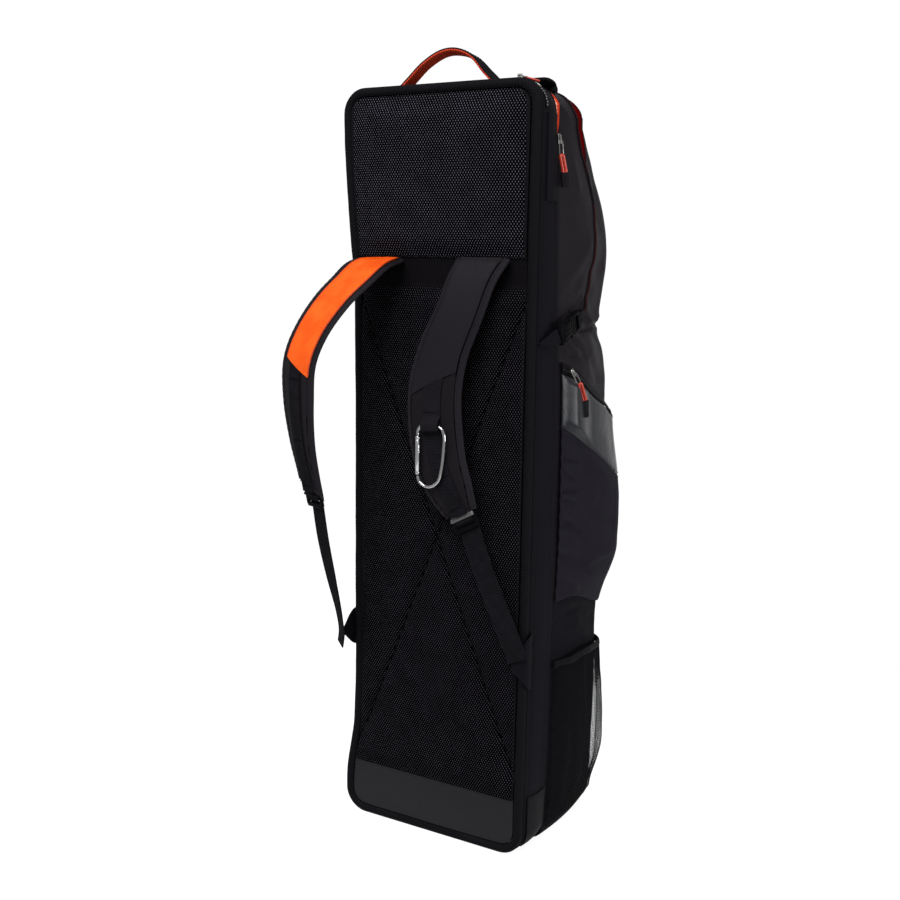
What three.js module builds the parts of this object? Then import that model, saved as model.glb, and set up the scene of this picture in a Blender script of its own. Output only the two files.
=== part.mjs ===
// Tall stick and kit bag with shoulder straps, standing on its base.
// Millimetres, +Z up. The strap side faces -Y, the front +Y, and +X is the side with the pockets.
// The origin is on the floor under the middle of the base.
import * as THREE from "three";

// Overall sizes.
const HEIGHT = 980; // floor to the top of the back panel
const BACK_Y = -125; // rearmost plane of the back panel's rim
const MAIN_TOP = 976; // top of the main compartment
const GUSSET_TOP = 972; // top of the gusset at the zip mouth
const TOP_CUT = 930; // height where its walls turn over into the top
const CLOTH = 2; // coated polyester wall
const WEBBING = 1.6; // woven strap
const GAP = 0.3; // clearance between neighbouring pieces
const SEAM = 0.4; // half of the gap along a sewn seam

// Rim and board of the back panel.
const RIM_RADIUS = 6;
const RIM_CORNER = 32;
const BOARD_BACK = 6.5;
const BOARD_THICKNESS = 5;

// Main compartment corners and the open zip mouth.
const BASE_ROUND = 18;
const FRONT_ROUND = 45;
const SIDE_BULGE = 5;
const FRONT_BULGE = 7;
const MOUTH_WIDTH = 10;
const MOUTH_LOW = 905;
const MOUTH_WIDE = 940;
const LIP_CORNER = 30;
const TAPE_WIDTH = 2.6;
const TAPE_GAP = 1.6;

// Share of the half plan, from the seam to the middle of the front, taken by the side and the corner.
const SIDE_SHARE = 0.5;
const CORNER_SHARE = 0.7;
const SEAM_SHARE = 0.6;
// Share of a meridian, from the floor to the lip, taken by the base round and the wall.
const BASE_V = 0.06;
const WALL_V = 0.86;

// Back panel: half width and how far its middle sits in from the rearmost plane.
const BACK = [
  { z: 0, half: 138, recess: 0 },
  { z: 60, half: 138, recess: 0 },
  { z: 135, half: 133.5, recess: 11 },
  { z: 360, half: 133.5, recess: 14 },
  { z: 720, half: 134, recess: 13 },
  { z: 800, half: 136.5, recess: 7 },
  { z: 900, half: 140, recess: 1 },
  { z: 980, half: 141, recess: 0 },
];

// Main compartment: half width, depth of its front from the rearmost plane, and of its rear seam.
const BODY = [
  { z: 0, half: 139, front: 246, seam: 60 },
  { z: 120, half: 141, front: 250, seam: 66 },
  { z: 262, half: 142, front: 246, seam: 67 },
  { z: 400, half: 143, front: 250, seam: 70 },
  { z: 600, half: 143, front: 250, seam: 69 },
  { z: 682, half: 141, front: 222, seam: 64 },
  { z: 770, half: 142, front: 243, seam: 57 },
  { z: 830, half: 142, front: 226, seam: 53 },
  { z: 883, half: 141, front: 190, seam: 50 },
  { z: 930, half: 140, front: 158, seam: 47 },
];

// Folds of the main compartment's sides: a ridge or dent at a height, with its depth and half length.
const FOLDS = [
  { z: 640, depth: 150, lift: 3.5, tall: 26, deep: 60 },
  { z: 690, depth: 120, lift: -5, tall: 20, deep: 80 },
  { z: 800, depth: 130, lift: 3, tall: 60, deep: 50 },
  { z: 290, depth: 110, lift: -4, tall: 16, deep: 70 },
];

// Zip edge of the side pocket, from the seam round the corner to the front.
const POCKET_TOP = [
  { share: 0, z: 643 },
  { share: 0.15, z: 628 },
  { share: 0.3, z: 604 },
  { share: 0.45, z: 580 },
  { share: 0.58, z: 552 },
  { share: 0.7, z: 514 },
  { share: 0.84, z: 440 },
];
const POCKET_BOTTOM_Z = 330; // at the seam
const POCKET_BOTTOM_FALL = 36; // how much lower it is at the far edge
const POCKET_SHARE = 0.84;
const POCKET_BULGE = 21;
const POCKET_ZIP = 14;
const PANEL_SPLIT_Z = 561; // edge of the grey panel, at the seam
const PANEL_SPLIT_FALL = 105;

const MESH_TOP_Z = 250;
const MESH_LOW_Z = 17;
const MESH_TOP_FALL = 14; // how much lower it is round the front corner
const MESH_SHARE = 0.8;
const MESH_BULGE = 12;

// Shoulder straps: centre line, width, and turn of the width about the vertical in degrees.
// square is 1 where a section is square to the strap, 0 where it is level.
const RIGHT_STRAP = [
  { x: 73, depth: 7.8, z: 768, width: 73, turn: 0, square: 0 },
  { x: 64, depth: -4, z: 744, width: 72, turn: 0, square: 0.4 },
  { x: 49, depth: -12, z: 704, width: 70, turn: 0 },
  { x: 28, depth: -16, z: 655, width: 70, turn: 0 },
  { x: 15, depth: -17, z: 605, width: 74, turn: 0 },
  { x: 14, depth: -17, z: 558, width: 76, turn: 0 },
  { x: 22, depth: -17, z: 515, width: 74, turn: 0 },
  { x: 38, depth: -16, z: 478, width: 64, turn: 0 },
  { x: 52, depth: -14, z: 452, width: 46, turn: 0 },
];
const LEFT_STRAP = [
  { x: -88, depth: 12.2, z: 763.5, width: 70, turn: 0 },
  { x: -87, depth: -28, z: 755, width: 70, turn: -2 },
  { x: -92, depth: -52, z: 739, width: 70, turn: -7 },
  { x: -104, depth: -76, z: 714, width: 70, turn: -13 },
  { x: -120, depth: -95, z: 678, width: 70, turn: -18 },
  { x: -131, depth: -104, z: 640, width: 70, turn: -20 },
  { x: -131, depth: -106, z: 592, width: 69, turn: -22 },
  { x: -128, depth: -103, z: 541, width: 60, turn: -25 },
  { x: -123, depth: -98, z: 502, width: 46, turn: -25 },
  { x: -120, depth: -94, z: 476, width: 36, turn: -22 },
];
const STRAP_THICKNESS = 11;
const STRAP_EDGE = 5;
const STRAP_BORDER = 7;
const LADDER_LENGTH = 20;
const LADDER_WIDTH = 38;
const LADDER_THICKNESS = 4.2;
const LADDER_OFF = LADDER_LENGTH / 2 + 0.4; // strap's end to the middle of the ladder lock

// Adjuster webbing below the ladder locks, down to the sewn tabs at the side seams.
const RIGHT_ADJUSTER = [
  { x: 76, depth: -5, z: 390, width: 30, turn: 0 },
  { x: 96, depth: -1, z: 340, width: 30, turn: 0 },
  { x: 118, depth: 2, z: 290, width: 30, turn: 0 },
  { x: 128, depth: 3.9, z: 267, width: 30, turn: 0 },
];
const LEFT_ADJUSTER = [
  { x: -120, depth: -72, z: 408, width: 27, turn: -23 },
  { x: -126, depth: -46, z: 346, width: 27, turn: -28 },
  { x: -131, depth: -22, z: 290, width: 27, turn: -38 },
  { x: -133, depth: -14, z: 262, width: 27, turn: -40 },
  { x: -135, depth: -14, z: 246, width: 27, turn: -40 },
];

// Carabiner: outline of its wire from the nose round to the gate's hinge, across and below its top bar.
const CARABINER_WIRE = [
  { across: -18.5, below: 13.5 },
  { across: -18, below: 7 },
  { across: -14, below: 1.5 },
  { across: -6, below: 0 },
  { across: 8, below: 0 },
  { across: 16.5, below: 2.5 },
  { across: 20, below: 11 },
  { across: 19.5, below: 30 },
  { across: 16.5, below: 55 },
  { across: 12, below: 69 },
  { across: 2, below: 77 },
  { across: -8, below: 77 },
  { across: -15.5, below: 72 },
  { across: -18.3, below: 65 },
];
const WIRE_RADIUS = 2.4;
const GATE_RADIUS = 3;
const GATE_TOP = 14;
const GATE_LOW = 63.3;
const CARABINER_AT = { x: 14, z: 562 };
const CARABINER_LIFT = 6.2; // strap face to the middle of the wire

const COLOURS = {
  cloth: 0x131316,
  webbing: 0x0e0e11,
  mesh: 0x0b0b0e,
  coated: 0x1d1d21,
  grey: 0x4b4e57,
  orange: 0xf2601c,
  red: 0x7a0f12,
  plastic: 0x0b0b0c,
  metal: 0xb9bcc2,
};
const MATERIALS = Object.fromEntries(
  Object.entries(COLOURS).map(([name, color]) => [
    name,
    new THREE.MeshStandardMaterial({
      color,
      roughness: name === "metal" ? 0.3 : 0.8,
      metalness: name === "metal" ? 0.9 : 0,
    }),
  ]),
);

const bag = new THREE.Group();

function add(name, material, geometry, parent = bag) {
  const mesh = new THREE.Mesh(geometry, MATERIALS[material]);
  mesh.name = name;
  parent.add(mesh);
  return mesh;
}

// Numbers and curves.

const lerp = THREE.MathUtils.lerp;
const smooth = THREE.MathUtils.smoothstep;
const clamp = THREE.MathUtils.clamp;

function steps(from, to, count) {
  return Array.from({ length: count + 1 }, (_, i) => from + ((to - from) * i) / count);
}

// A smooth curve through one column of a table, read by another column that rises from row to row.
function column(rows, by, name) {
  const xs = rows.map((row) => row[by]);
  const ys = rows.map((row) => row[name]);
  const last = xs.length - 1;
  const slopes = xs.map((_, i) => {
    const before = Math.max(i - 1, 0);
    const after = Math.min(i + 1, last);
    return (ys[after] - ys[before]) / (xs[after] - xs[before]);
  });
  return (value) => {
    const x = clamp(value, xs[0], xs[last]);
    const found = xs.findIndex((edge) => edge > x);
    const i = found < 0 ? last - 1 : found - 1;
    const span = xs[i + 1] - xs[i];
    const s = (x - xs[i]) / span;
    const turn = s * s * (3 - 2 * s);
    const leave = s * (1 - s) * (1 - s) * span;
    const arrive = s * s * (s - 1) * span;
    return lerp(ys[i], ys[i + 1], turn) + leave * slopes[i] + arrive * slopes[i + 1];
  };
}

function place(x, depth, z) {
  return new THREE.Vector3(x, BACK_Y + depth, z);
}

const backHalf = column(BACK, "z", "half");
const backRecess = column(BACK, "z", "recess");
const bodyHalf = column(BODY, "z", "half");
const bodyFront = column(BODY, "z", "front");
const seamDepth = column(BODY, "z", "seam");
const pocketTop = column(POCKET_TOP, "share", "z");

// How much a round of this radius takes off, at this distance from its end.
function roundInset(radius, distance) {
  const rest = clamp(radius - distance, 0, radius);
  return radius - Math.sqrt(radius * radius - rest * rest);
}

// Closed solids.

function facingOut(points, index) {
  const cross = new THREE.Vector3();
  let volume = 0;
  for (let i = 0; i < index.length; i += 3) {
    const [a, b, c] = [points[index[i]], points[index[i + 1]], points[index[i + 2]]];
    volume += a.dot(cross.crossVectors(b, c));
  }
  if (volume < 0) index.reverse();
  return new THREE.BufferGeometry().setFromPoints(points).setIndex(index);
}

// A solid between two grids of points of one size, its outer and its inner face.
function between(outer, inner) {
  const rows = outer.length;
  const cols = outer[0].length;
  const index = [];
  const at = (side, r, c) => (side * rows + r) * cols + c;
  const quad = (a, b, c, d) => index.push(a, b, c, a, c, d);
  for (let r = 0; r < rows - 1; r += 1) {
    for (let c = 0; c < cols - 1; c += 1) {
      quad(at(0, r, c), at(0, r, c + 1), at(0, r + 1, c + 1), at(0, r + 1, c));
      quad(at(1, r, c), at(1, r + 1, c), at(1, r + 1, c + 1), at(1, r, c + 1));
    }
    quad(at(0, r, 0), at(0, r + 1, 0), at(1, r + 1, 0), at(1, r, 0));
    quad(at(0, r + 1, cols - 1), at(0, r, cols - 1), at(1, r, cols - 1), at(1, r + 1, cols - 1));
  }
  for (let c = 0; c < cols - 1; c += 1) {
    quad(at(0, 0, c + 1), at(0, 0, c), at(1, 0, c), at(1, 0, c + 1));
    quad(at(0, rows - 1, c), at(0, rows - 1, c + 1), at(1, rows - 1, c + 1), at(1, rows - 1, c));
  }
  return facingOut([...outer.flat(), ...inner.flat()], index);
}

// Rings of points joined one to the next, closed by flat ends or back to the first ring.
function loft(rings, closed = false) {
  const sides = rings[0].length;
  const index = [];
  const turns = closed ? rings.length : rings.length - 1;
  for (let r = 0; r < turns; r += 1) {
    const next = ((r + 1) % rings.length) * sides;
    for (let i = 0; i < sides; i += 1) {
      const j = (i + 1) % sides;
      index.push(r * sides + i, r * sides + j, next + j, r * sides + i, next + j, next + i);
    }
  }
  if (!closed) {
    const end = (rings.length - 1) * sides;
    for (let i = 1; i < sides - 1; i += 1) {
      index.push(0, i + 1, i, end, end + i, end + i + 1);
    }
  }
  return facingOut(rings.flat(), index);
}

function grid(rows, cols, point) {
  return rows.map((r) => cols.map((c) => point(r, c)));
}

// Frames along a strap's table: centre, direction across and direction out of its outer face.
function strapFrames(rows, sideways) {
  const curve = new THREE.CatmullRomCurve3(rows.map((row) => place(row.x, row.depth, row.z)));
  const numbered = rows.map((row, i) => ({ square: 1, ...row, share: i / (rows.length - 1) }));
  const width = column(numbered, "share", "width");
  const turn = column(numbered, "share", "turn");
  const square = column(numbered, "share", "square");
  return (share) => {
    const along = curve.getTangent(share);
    const angle = THREE.MathUtils.degToRad(turn(share));
    const across = sideways?.clone() ?? new THREE.Vector3(Math.cos(angle), Math.sin(angle), 0);
    across.addScaledVector(along, -across.dot(along) * square(share)).normalize();
    const out = new THREE.Vector3().crossVectors(along, across).normalize();
    return { centre: curve.getPoint(share), along, across, out, half: width(share) / 2 };
  };
}

function onFrame(frame, across, out) {
  return frame.centre.clone().addScaledVector(frame.across, across).addScaledVector(frame.out, out);
}

// A flat band on a strap's frames, between two heights over its centre line.
// slant moves its ends along the strap, from one edge to the other.
function band(frameAt, from, to, halfWidth, low, high, count, slant = [0, 0]) {
  const sides = [-1, 0, 1];
  const share = (r, side) => lerp(from + slant[0] * side, to + slant[1] * side, r);
  const face = (lift) =>
    grid(steps(0, 1, count), sides, (r, side) => {
      const frame = frameAt(share(r, side));
      return onFrame(frame, side * halfWidth(frame, r), lift(r));
    });
  return between(face(high), face(low));
}

// Main compartment.

function mouthAt(z) {
  return MOUTH_WIDTH * smooth(z, MOUTH_LOW, MOUTH_WIDE);
}

// A point of the wall: share runs from the seam to the middle of the front, on the +X half.
function wallPoint(share, z) {
  const inset = roundInset(BASE_ROUND, z);
  const half = bodyHalf(z) - inset;
  const front = bodyFront(z) - inset;
  const rear = seamDepth(z) + GAP + mouthAt(z);
  const corner = FRONT_ROUND - inset;
  if (share <= SIDE_SHARE) {
    const s = share / SIDE_SHARE;
    return place(half + SIDE_BULGE * Math.sin(Math.PI * s), lerp(rear, front - corner, s), z);
  }
  if (share <= CORNER_SHARE) {
    const angle = ((share - SIDE_SHARE) / (CORNER_SHARE - SIDE_SHARE)) * (Math.PI / 2);
    const x = half - corner + corner * Math.cos(angle);
    return place(x, front - corner + corner * Math.sin(angle), z);
  }
  const s = (share - CORNER_SHARE) / (1 - CORNER_SHARE);
  return place((half - corner) * (1 - s), front + FRONT_BULGE * Math.sin((Math.PI / 2) * s), z);
}

function foldLift(depth, z) {
  return FOLDS.reduce((sum, fold) => {
    const far = ((z - fold.z) / fold.tall) ** 2 + ((depth - fold.depth) / fold.deep) ** 2;
    return sum + fold.lift * Math.exp(-far);
  }, 0);
}

// Height of the top over a place in plan.
function topHeight(x, depth) {
  const half = bodyHalf(TOP_CUT);
  const lip = seamDepth(TOP_CUT) + GAP + MOUTH_WIDTH;
  const outward = clamp((Math.abs(x) - half + FRONT_ROUND) / FRONT_ROUND, 0, 1);
  const reach = bodyFront(TOP_CUT) + FRONT_BULGE - FRONT_ROUND * (1 - Math.sqrt(1 - outward ** 2));
  const a = clamp(Math.abs(x) / (half + SIDE_BULGE), 0, 1);
  const b = clamp((depth - lip) / (reach - lip), 0, 1);
  return lerp(TOP_CUT, MAIN_TOP, Math.sqrt(1 - a ** 8) * Math.sqrt(1 - b ** 2.4));
}

// A point over the top: from the wall's upper edge to the lip of the zip mouth.
function topPoint(share, k) {
  const wall = wallPoint(share, TOP_CUT);
  const lip = seamDepth(TOP_CUT) + GAP + MOUTH_WIDTH;
  const moved = 1 - Math.cos((k * Math.PI) / 2);
  const x = lerp(wall.x, (bodyHalf(TOP_CUT) - LIP_CORNER) * (1 - share), moved);
  const depth = lerp(wall.y - BACK_Y, lip, moved);
  return place(x, depth, topHeight(x, depth));
}

function topNormal(point) {
  const step = 0.5;
  const depth = point.y - BACK_Y;
  const alongX = topHeight(point.x + step, depth) - topHeight(point.x - step, depth);
  const alongY = topHeight(point.x, depth + step) - topHeight(point.x, depth - step);
  return new THREE.Vector3(-alongX, -alongY, 2 * step).normalize();
}

function heightOf(v) {
  if (v < BASE_V) return BASE_ROUND * (1 - Math.cos(((v / BASE_V) * Math.PI) / 2));
  return lerp(BASE_ROUND, TOP_CUT, (v - BASE_V) / (WALL_V - BASE_V));
}

function shareOfHeight(z) {
  return lerp(BASE_V, WALL_V, (z - BASE_ROUND) / (TOP_CUT - BASE_ROUND));
}

function hullPoint(share, v) {
  if (v > WALL_V) return topPoint(share, (v - WALL_V) / (1 - WALL_V));
  const z = heightOf(v);
  const point = wallPoint(share, z);
  if (share < SIDE_SHARE) point.x += foldLift(point.y - BACK_Y, z) * Math.sin((Math.PI * share) / SIDE_SHARE);
  return point;
}

function wallNormal(share, v) {
  const step = 0.004;
  const ahead = hullPoint(Math.min(share + step, 1), v);
  const behind = hullPoint(Math.max(share - step, 0), v);
  const over = hullPoint(share, Math.min(v + step, WALL_V));
  const under = hullPoint(share, Math.max(v - step, 0));
  return ahead.sub(behind).cross(over.sub(under)).normalize();
}

// The same surface moved out along its normal. A share past 1 goes on round the -X half.
function skin(share, v, lift = 0) {
  const mirrored = share > 1;
  const near = mirrored ? 2 - share : share;
  const point = hullPoint(near, v);
  const normal = v > WALL_V ? topNormal(point) : wallNormal(near, v);
  point.addScaledVector(normal, lift);
  if (mirrored) point.x = -point.x;
  return point;
}

// Share of the half plan at a depth on the side, at a height.
function shareAtDepth(depth, z) {
  const rear = seamDepth(z) + GAP + mouthAt(z);
  const start = bodyFront(z) - FRONT_ROUND;
  if (depth <= start) return (SIDE_SHARE * (depth - rear)) / (start - rear);
  const angle = Math.asin(clamp((depth - start) / FRONT_ROUND, 0, 1));
  return lerp(SIDE_SHARE, CORNER_SHARE, angle / (Math.PI / 2));
}

const WALL_ROWS = [
  ...steps(0, BASE_V, 3),
  ...steps(BASE_V, WALL_V, 15).slice(1),
  ...steps(WALL_V, 1, 5).slice(1),
];

function shellPanel(shares) {
  const face = (lift) => grid(WALL_ROWS, shares, (v, share) => skin(share, v, lift));
  return between(face(0), face(-CLOTH));
}

function buildMainCompartment() {
  const seam = 0.0012;
  const sideShares = [...steps(0, SIDE_SHARE, 5), SEAM_SHARE - seam];
  add("side_panel_right", "cloth", shellPanel(sideShares));
  add("side_panel_left", "cloth", shellPanel(sideShares.map((share) => 2 - share)));
  const half = [SEAM_SHARE + seam, CORNER_SHARE, 0.85];
  add("front_panel", "cloth", shellPanel([...half, 1, ...half.map((share) => 2 - share).reverse()]));

  // The base closes the ring that the panels' lower edges make.
  const round = [...sideShares, ...half, 1];
  const rim = [...round, ...round.slice(0, -1).map((share) => 2 - share).reverse()];
  const centre = place(0, (seamDepth(0) + bodyFront(0)) / 2, 0);
  const ring = (z) =>
    rim.map((share) => {
      const point = skin(share, 0).sub(centre);
      const shrink = 1 - 1.2 / point.length();
      return point.multiplyScalar(shrink).add(centre).setZ(z);
    });
  add("base_panel", "coated", loft([ring(0), ring(3)]));
}

// Outline of the bag seen from behind, from the middle of the base's right end round to the top's.
// share 0 is at the back panel's rim, 1 at the seam of the main compartment.
function sideOutline(share, inset) {
  const top = lerp(HEIGHT - 3, GUSSET_TOP, share);
  const half = (z) => lerp(backHalf(z), bodyHalf(z), share);
  const corner = RIM_CORNER;
  const points = [];
  for (const angle of steps(-90, 0, 3)) {
    const turn = THREE.MathUtils.degToRad(angle);
    const radius = corner - inset;
    points.push([half(0) - corner + radius * Math.cos(turn), corner + radius * Math.sin(turn)]);
  }
  for (const z of steps(corner, top - corner, 13).slice(1, -1)) points.push([half(z) - inset, z]);
  for (const angle of steps(0, 90, 3)) {
    const turn = THREE.MathUtils.degToRad(angle);
    const radius = corner - inset;
    points.push([half(top) - corner + radius * Math.cos(turn), top - corner + radius * Math.sin(turn)]);
  }
  return points;
}

const GUSSET_REAR = 13.4;

function gussetDepth(share, z) {
  return lerp(GUSSET_REAR + backRecess(z), seamDepth(z), share);
}

function buildGusset() {
  const shares = [0, 0.5, 1];
  const belly = (share) => 2.5 * Math.sin(Math.PI * share);
  const depthAt = gussetDepth;
  for (const [name, sign] of [["gusset_right", 1], ["gusset_left", -1]]) {
    const face = (inset) => {
      const outlines = shares.map((share) => sideOutline(share, inset - belly(share)));
      return outlines[0].map((_, i) =>
        shares.map((share, j) => {
          const [x, z] = outlines[j][i];
          return place(sign * x, depthAt(share, z), z);
        }),
      );
    };
    add(name, "cloth", between(face(0), face(CLOTH)));
  }
  // Straight runs across the top and the base.
  const across = steps(-1, 1, 6);
  for (const [name, low] of [["gusset_top", false], ["gusset_base", true]]) {
    const face = (inset) =>
      grid(shares, across, (share, a) => {
        const outline = sideOutline(share, low ? inset : inset - belly(share));
        const [x, z] = low ? outline[0] : outline.at(-1);
        const reach = x - SEAM;
        return place(a * reach, depthAt(share, z), z);
      });
    add(name, low ? "coated" : "cloth", between(face(0), face(CLOTH)));
  }
}

// Back panel: board, rim, pads and patches.

function rimPath(inset) {
  const side = [];
  const half = (z) => backHalf(z) - inset;
  const corner = RIM_CORNER - inset;
  for (const angle of steps(-90, 0, 4)) {
    const turn = THREE.MathUtils.degToRad(angle);
    side.push([half(0) - corner + corner * Math.cos(turn), inset + corner + corner * Math.sin(turn)]);
  }
  for (const z of steps(inset + corner, HEIGHT - inset - corner, 16).slice(1, -1)) side.push([half(z), z]);
  for (const angle of steps(0, 90, 4)) {
    const turn = THREE.MathUtils.degToRad(angle);
    const z = HEIGHT - inset - corner + corner * Math.sin(turn);
    side.push([half(HEIGHT) - corner + corner * Math.cos(turn), z]);
  }
  return side;
}

function buildRim() {
  const right = rimPath(RIM_RADIUS);
  const path = [...right, ...right.map(([x, z]) => [-x, z]).reverse()];
  const rings = path.map(([x, z], i) => {
    const [x0, z0] = path[(i + path.length - 1) % path.length];
    const [x1, z1] = path[(i + 1) % path.length];
    const away = new THREE.Vector2(z1 - z0, x0 - x1).normalize();
    const depth = RIM_RADIUS + backRecess(z);
    return steps(0, 2 * Math.PI, 6)
      .slice(0, -1)
      .map((turn) => {
        const reach = RIM_RADIUS * Math.cos(turn);
        return place(x + away.x * reach, depth + RIM_RADIUS * Math.sin(turn), z + away.y * reach);
      });
  });
  add("back_rim", "webbing", loft(rings, true));
}

// A pad of the back panel between two heights; thickness(a, z) is how far it stands out of the board.
function backPad(heights, inset, columns, thickness, backLift = GAP) {
  const halfAt = (z) => {
    const corner = RIM_CORNER - inset;
    const reach = Math.min(z - inset, HEIGHT - inset - z);
    return backHalf(z) - inset - roundInset(corner, reach);
  };
  const face = (lift) =>
    grid(heights, columns, (z, a) => {
      return place(a * halfAt(z), BOARD_BACK + backRecess(z) - lift(a, z), z);
    });
  return between(face(thickness), face(() => backLift));
}

const YOKE_LOW = 732;
const YOKE_TOP = 770;
const KICK_TOP = 76;
const PAD_INSET = 2 * RIM_RADIUS + 1;
const QUILT_TOP = 715; // where the quilted cross meets the pad's edges
const QUILT_LOW = 105;
const QUILT_GROOVE = 4.5;
const QUILT_WIDTH = 10;

// Depth of the quilted cross: two sewn lines from corner to corner of the lower pad.
function quiltDip(a, z) {
  const line = lerp(-1, 1, (z - QUILT_LOW) / (QUILT_TOP - QUILT_LOW));
  const wide = backHalf(z) - PAD_INSET;
  const near = Math.min(Math.abs(a - line), Math.abs(a + line)) * wide * 0.92;
  return QUILT_GROOVE * Math.exp(-((near / QUILT_WIDTH) ** 2));
}

function buildBackPanel() {
  buildRim();
  const corner = RIM_CORNER - PAD_INSET;
  const lowEnd = PAD_INSET;
  const topEnd = HEIGHT - PAD_INSET;
  const cornerRows = [0, 0.12, 0.5, 1].map((share) => share * corner);

  const kickRows = [...cornerRows.map((rise) => lowEnd + rise), KICK_TOP - SEAM];
  const lowRows = steps(KICK_TOP + SEAM, YOKE_LOW - SEAM, 22);
  const yokeRows = [YOKE_LOW + SEAM, YOKE_TOP - SEAM];
  const topRows = [
    ...steps(YOKE_TOP + SEAM, topEnd - corner, 6),
    ...cornerRows.map((drop) => topEnd - drop).reverse().slice(1),
  ];
  const boardRows = [...kickRows, ...lowRows, ...yokeRows, ...topRows];
  add("back_board", "cloth", backPad(boardRows, PAD_INSET, [-1, 0, 1], () => 0, -BOARD_THICKNESS));
  add("kick_patch", "coated", backPad(kickRows, PAD_INSET, steps(-1, 1, 6), () => CLOTH + GAP));

  const crown = (a, edge) => 5 + 5.5 * (1 - Math.abs(a) ** 5) * smooth(edge, 0, 22);
  const lowPad = (a, z) => crown(a, Math.min(z - KICK_TOP, YOKE_LOW - z)) - quiltDip(a, z);
  add("lower_mesh_pad", "mesh", backPad(lowRows, PAD_INSET, steps(-1, 1, 12), lowPad));

  add("yoke_panel", "cloth", backPad(yokeRows, PAD_INSET, [-1, 0, 1], () => CLOTH + GAP));

  const topPad = (a, z) => {
    const edge = Math.min(z - YOKE_TOP + 4, topEnd - z + 2);
    return 5 + 8 * (1 - Math.abs(a) ** 5) * smooth(edge, 0, 30);
  };
  add("upper_mesh_pad", "mesh", backPad(topRows, PAD_INSET, steps(-1, 1, 8), topPad));
}

// A point on the right or left gusset, moved out by lift.
function onGusset(sign, share, z, lift) {
  const top = lerp(HEIGHT - 3, GUSSET_TOP, share);
  const half = lerp(backHalf(z), bodyHalf(z), share) - roundInset(RIM_CORNER, Math.min(z, top - z));
  const depth = gussetDepth(share, z);
  return place(sign * (half + 2.5 * Math.sin(Math.PI * share) + lift), depth, z);
}

function gussetPatch(heights, shares, low, high) {
  const face = (lift) => grid(heights, shares, (z, share) => onGusset(1, share, z, lift));
  return between(face(high), face(low));
}

function buildGussetPatches() {
  add("kick_gusset_right", "coated", gussetPatch([10, 16, 24, 40, 78], [0.06, 0.5, 0.96], 0.8, 2));
  add("zip_guard_right", "webbing", gussetPatch(steps(838, 940, 4), [0.2, 0.5, 0.8], 0.8, 2));

  // Coarse zip of the stick sleeve, along the rim over the top.
  const run = (share, lift) => {
    const arc = sideOutline(share, -lift).slice(-4);
    const z = 922;
    const low = [lerp(backHalf(z), bodyHalf(z), share) + lift, z];
    const right = [low, ...arc];
    return [...right, ...right.map(([x, height]) => [-x, height]).reverse()];
  };
  const shares = [0.04, 0.16];
  const face = (lift) => {
    const runs = shares.map((share) => run(share, lift + 2.5 * Math.sin(Math.PI * share)));
    return runs[0].map((_, i) =>
      shares.map((share, j) => {
        const [x, z] = runs[j][i];
        return place(x, gussetDepth(share, z), z);
      }),
    );
  };
  add("stick_zip", "metal", between(face(2.4), face(0.8)));
}

// Small moulded pieces: an outline drawn across and along, given a thickness and stood on a frame.
function onBasis(geometry, origin, across, along) {
  const out = new THREE.Vector3().crossVectors(across, along);
  return geometry.applyMatrix4(new THREE.Matrix4().makeBasis(across, along, out).setPosition(origin));
}

function roundedOutline(width, length, corner) {
  const shape = new THREE.Shape();
  const [a, b] = [width / 2 - corner, length / 2 - corner];
  shape.absarc(a, b, corner, 0, Math.PI / 2);
  shape.absarc(-a, b, corner, Math.PI / 2, Math.PI);
  shape.absarc(-a, -b, corner, Math.PI, 1.5 * Math.PI);
  shape.absarc(a, -b, corner, 1.5 * Math.PI, 2 * Math.PI);
  return shape;
}

function slot(width, length, middle) {
  const path = new THREE.Path();
  path.moveTo(-width / 2, middle - length / 2);
  path.lineTo(width / 2, middle - length / 2);
  path.lineTo(width / 2, middle + length / 2);
  path.lineTo(-width / 2, middle + length / 2);
  return path;
}

function slab(shape, thickness, segments = 2) {
  const geometry = new THREE.ExtrudeGeometry(shape, {
    depth: thickness,
    bevelEnabled: false,
    curveSegments: segments,
  });
  return geometry.translate(0, 0, -thickness / 2);
}

// Side pocket with its grey panel, its zip, and the mesh pocket below.

function pocketLow(share) {
  return POCKET_BOTTOM_Z - POCKET_BOTTOM_FALL * smooth(share, 0.1, 0.62);
}

function pocketSplit(share) {
  return PANEL_SPLIT_Z - PANEL_SPLIT_FALL * (share / SEAM_SHARE);
}

function pocketLift(share, z) {
  const top = pocketTop(share) - POCKET_ZIP;
  const low = pocketLow(share);
  const b = (z - low) / (top - low);
  const rise = smooth(b, -0.03, 0.4) * (1 - 0.72 * smooth(b, 0.55, 1.02));
  const around = lerp(0.34, 1, smooth(share, 0.02, 0.55));
  const ends = smooth(share, -0.03, 0.1) * (1 - smooth(share, POCKET_SHARE - 0.14, POCKET_SHARE + 0.01));
  return CLOTH + 1.8 + POCKET_BULGE * rise * around * ends;
}

function pocketPanel(low, high, count) {
  const shares = [...steps(0.012, SIDE_SHARE, 6), 0.56, 0.63, ...steps(CORNER_SHARE, POCKET_SHARE, 3)];
  const face = (sink) =>
    grid(steps(0, 1, count), shares, (r, share) => {
      const z = lerp(low(share), high(share), r);
      return skin(share, shareOfHeight(z), pocketLift(share, z) - sink);
    });
  return between(face(0), face(CLOTH));
}

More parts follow.
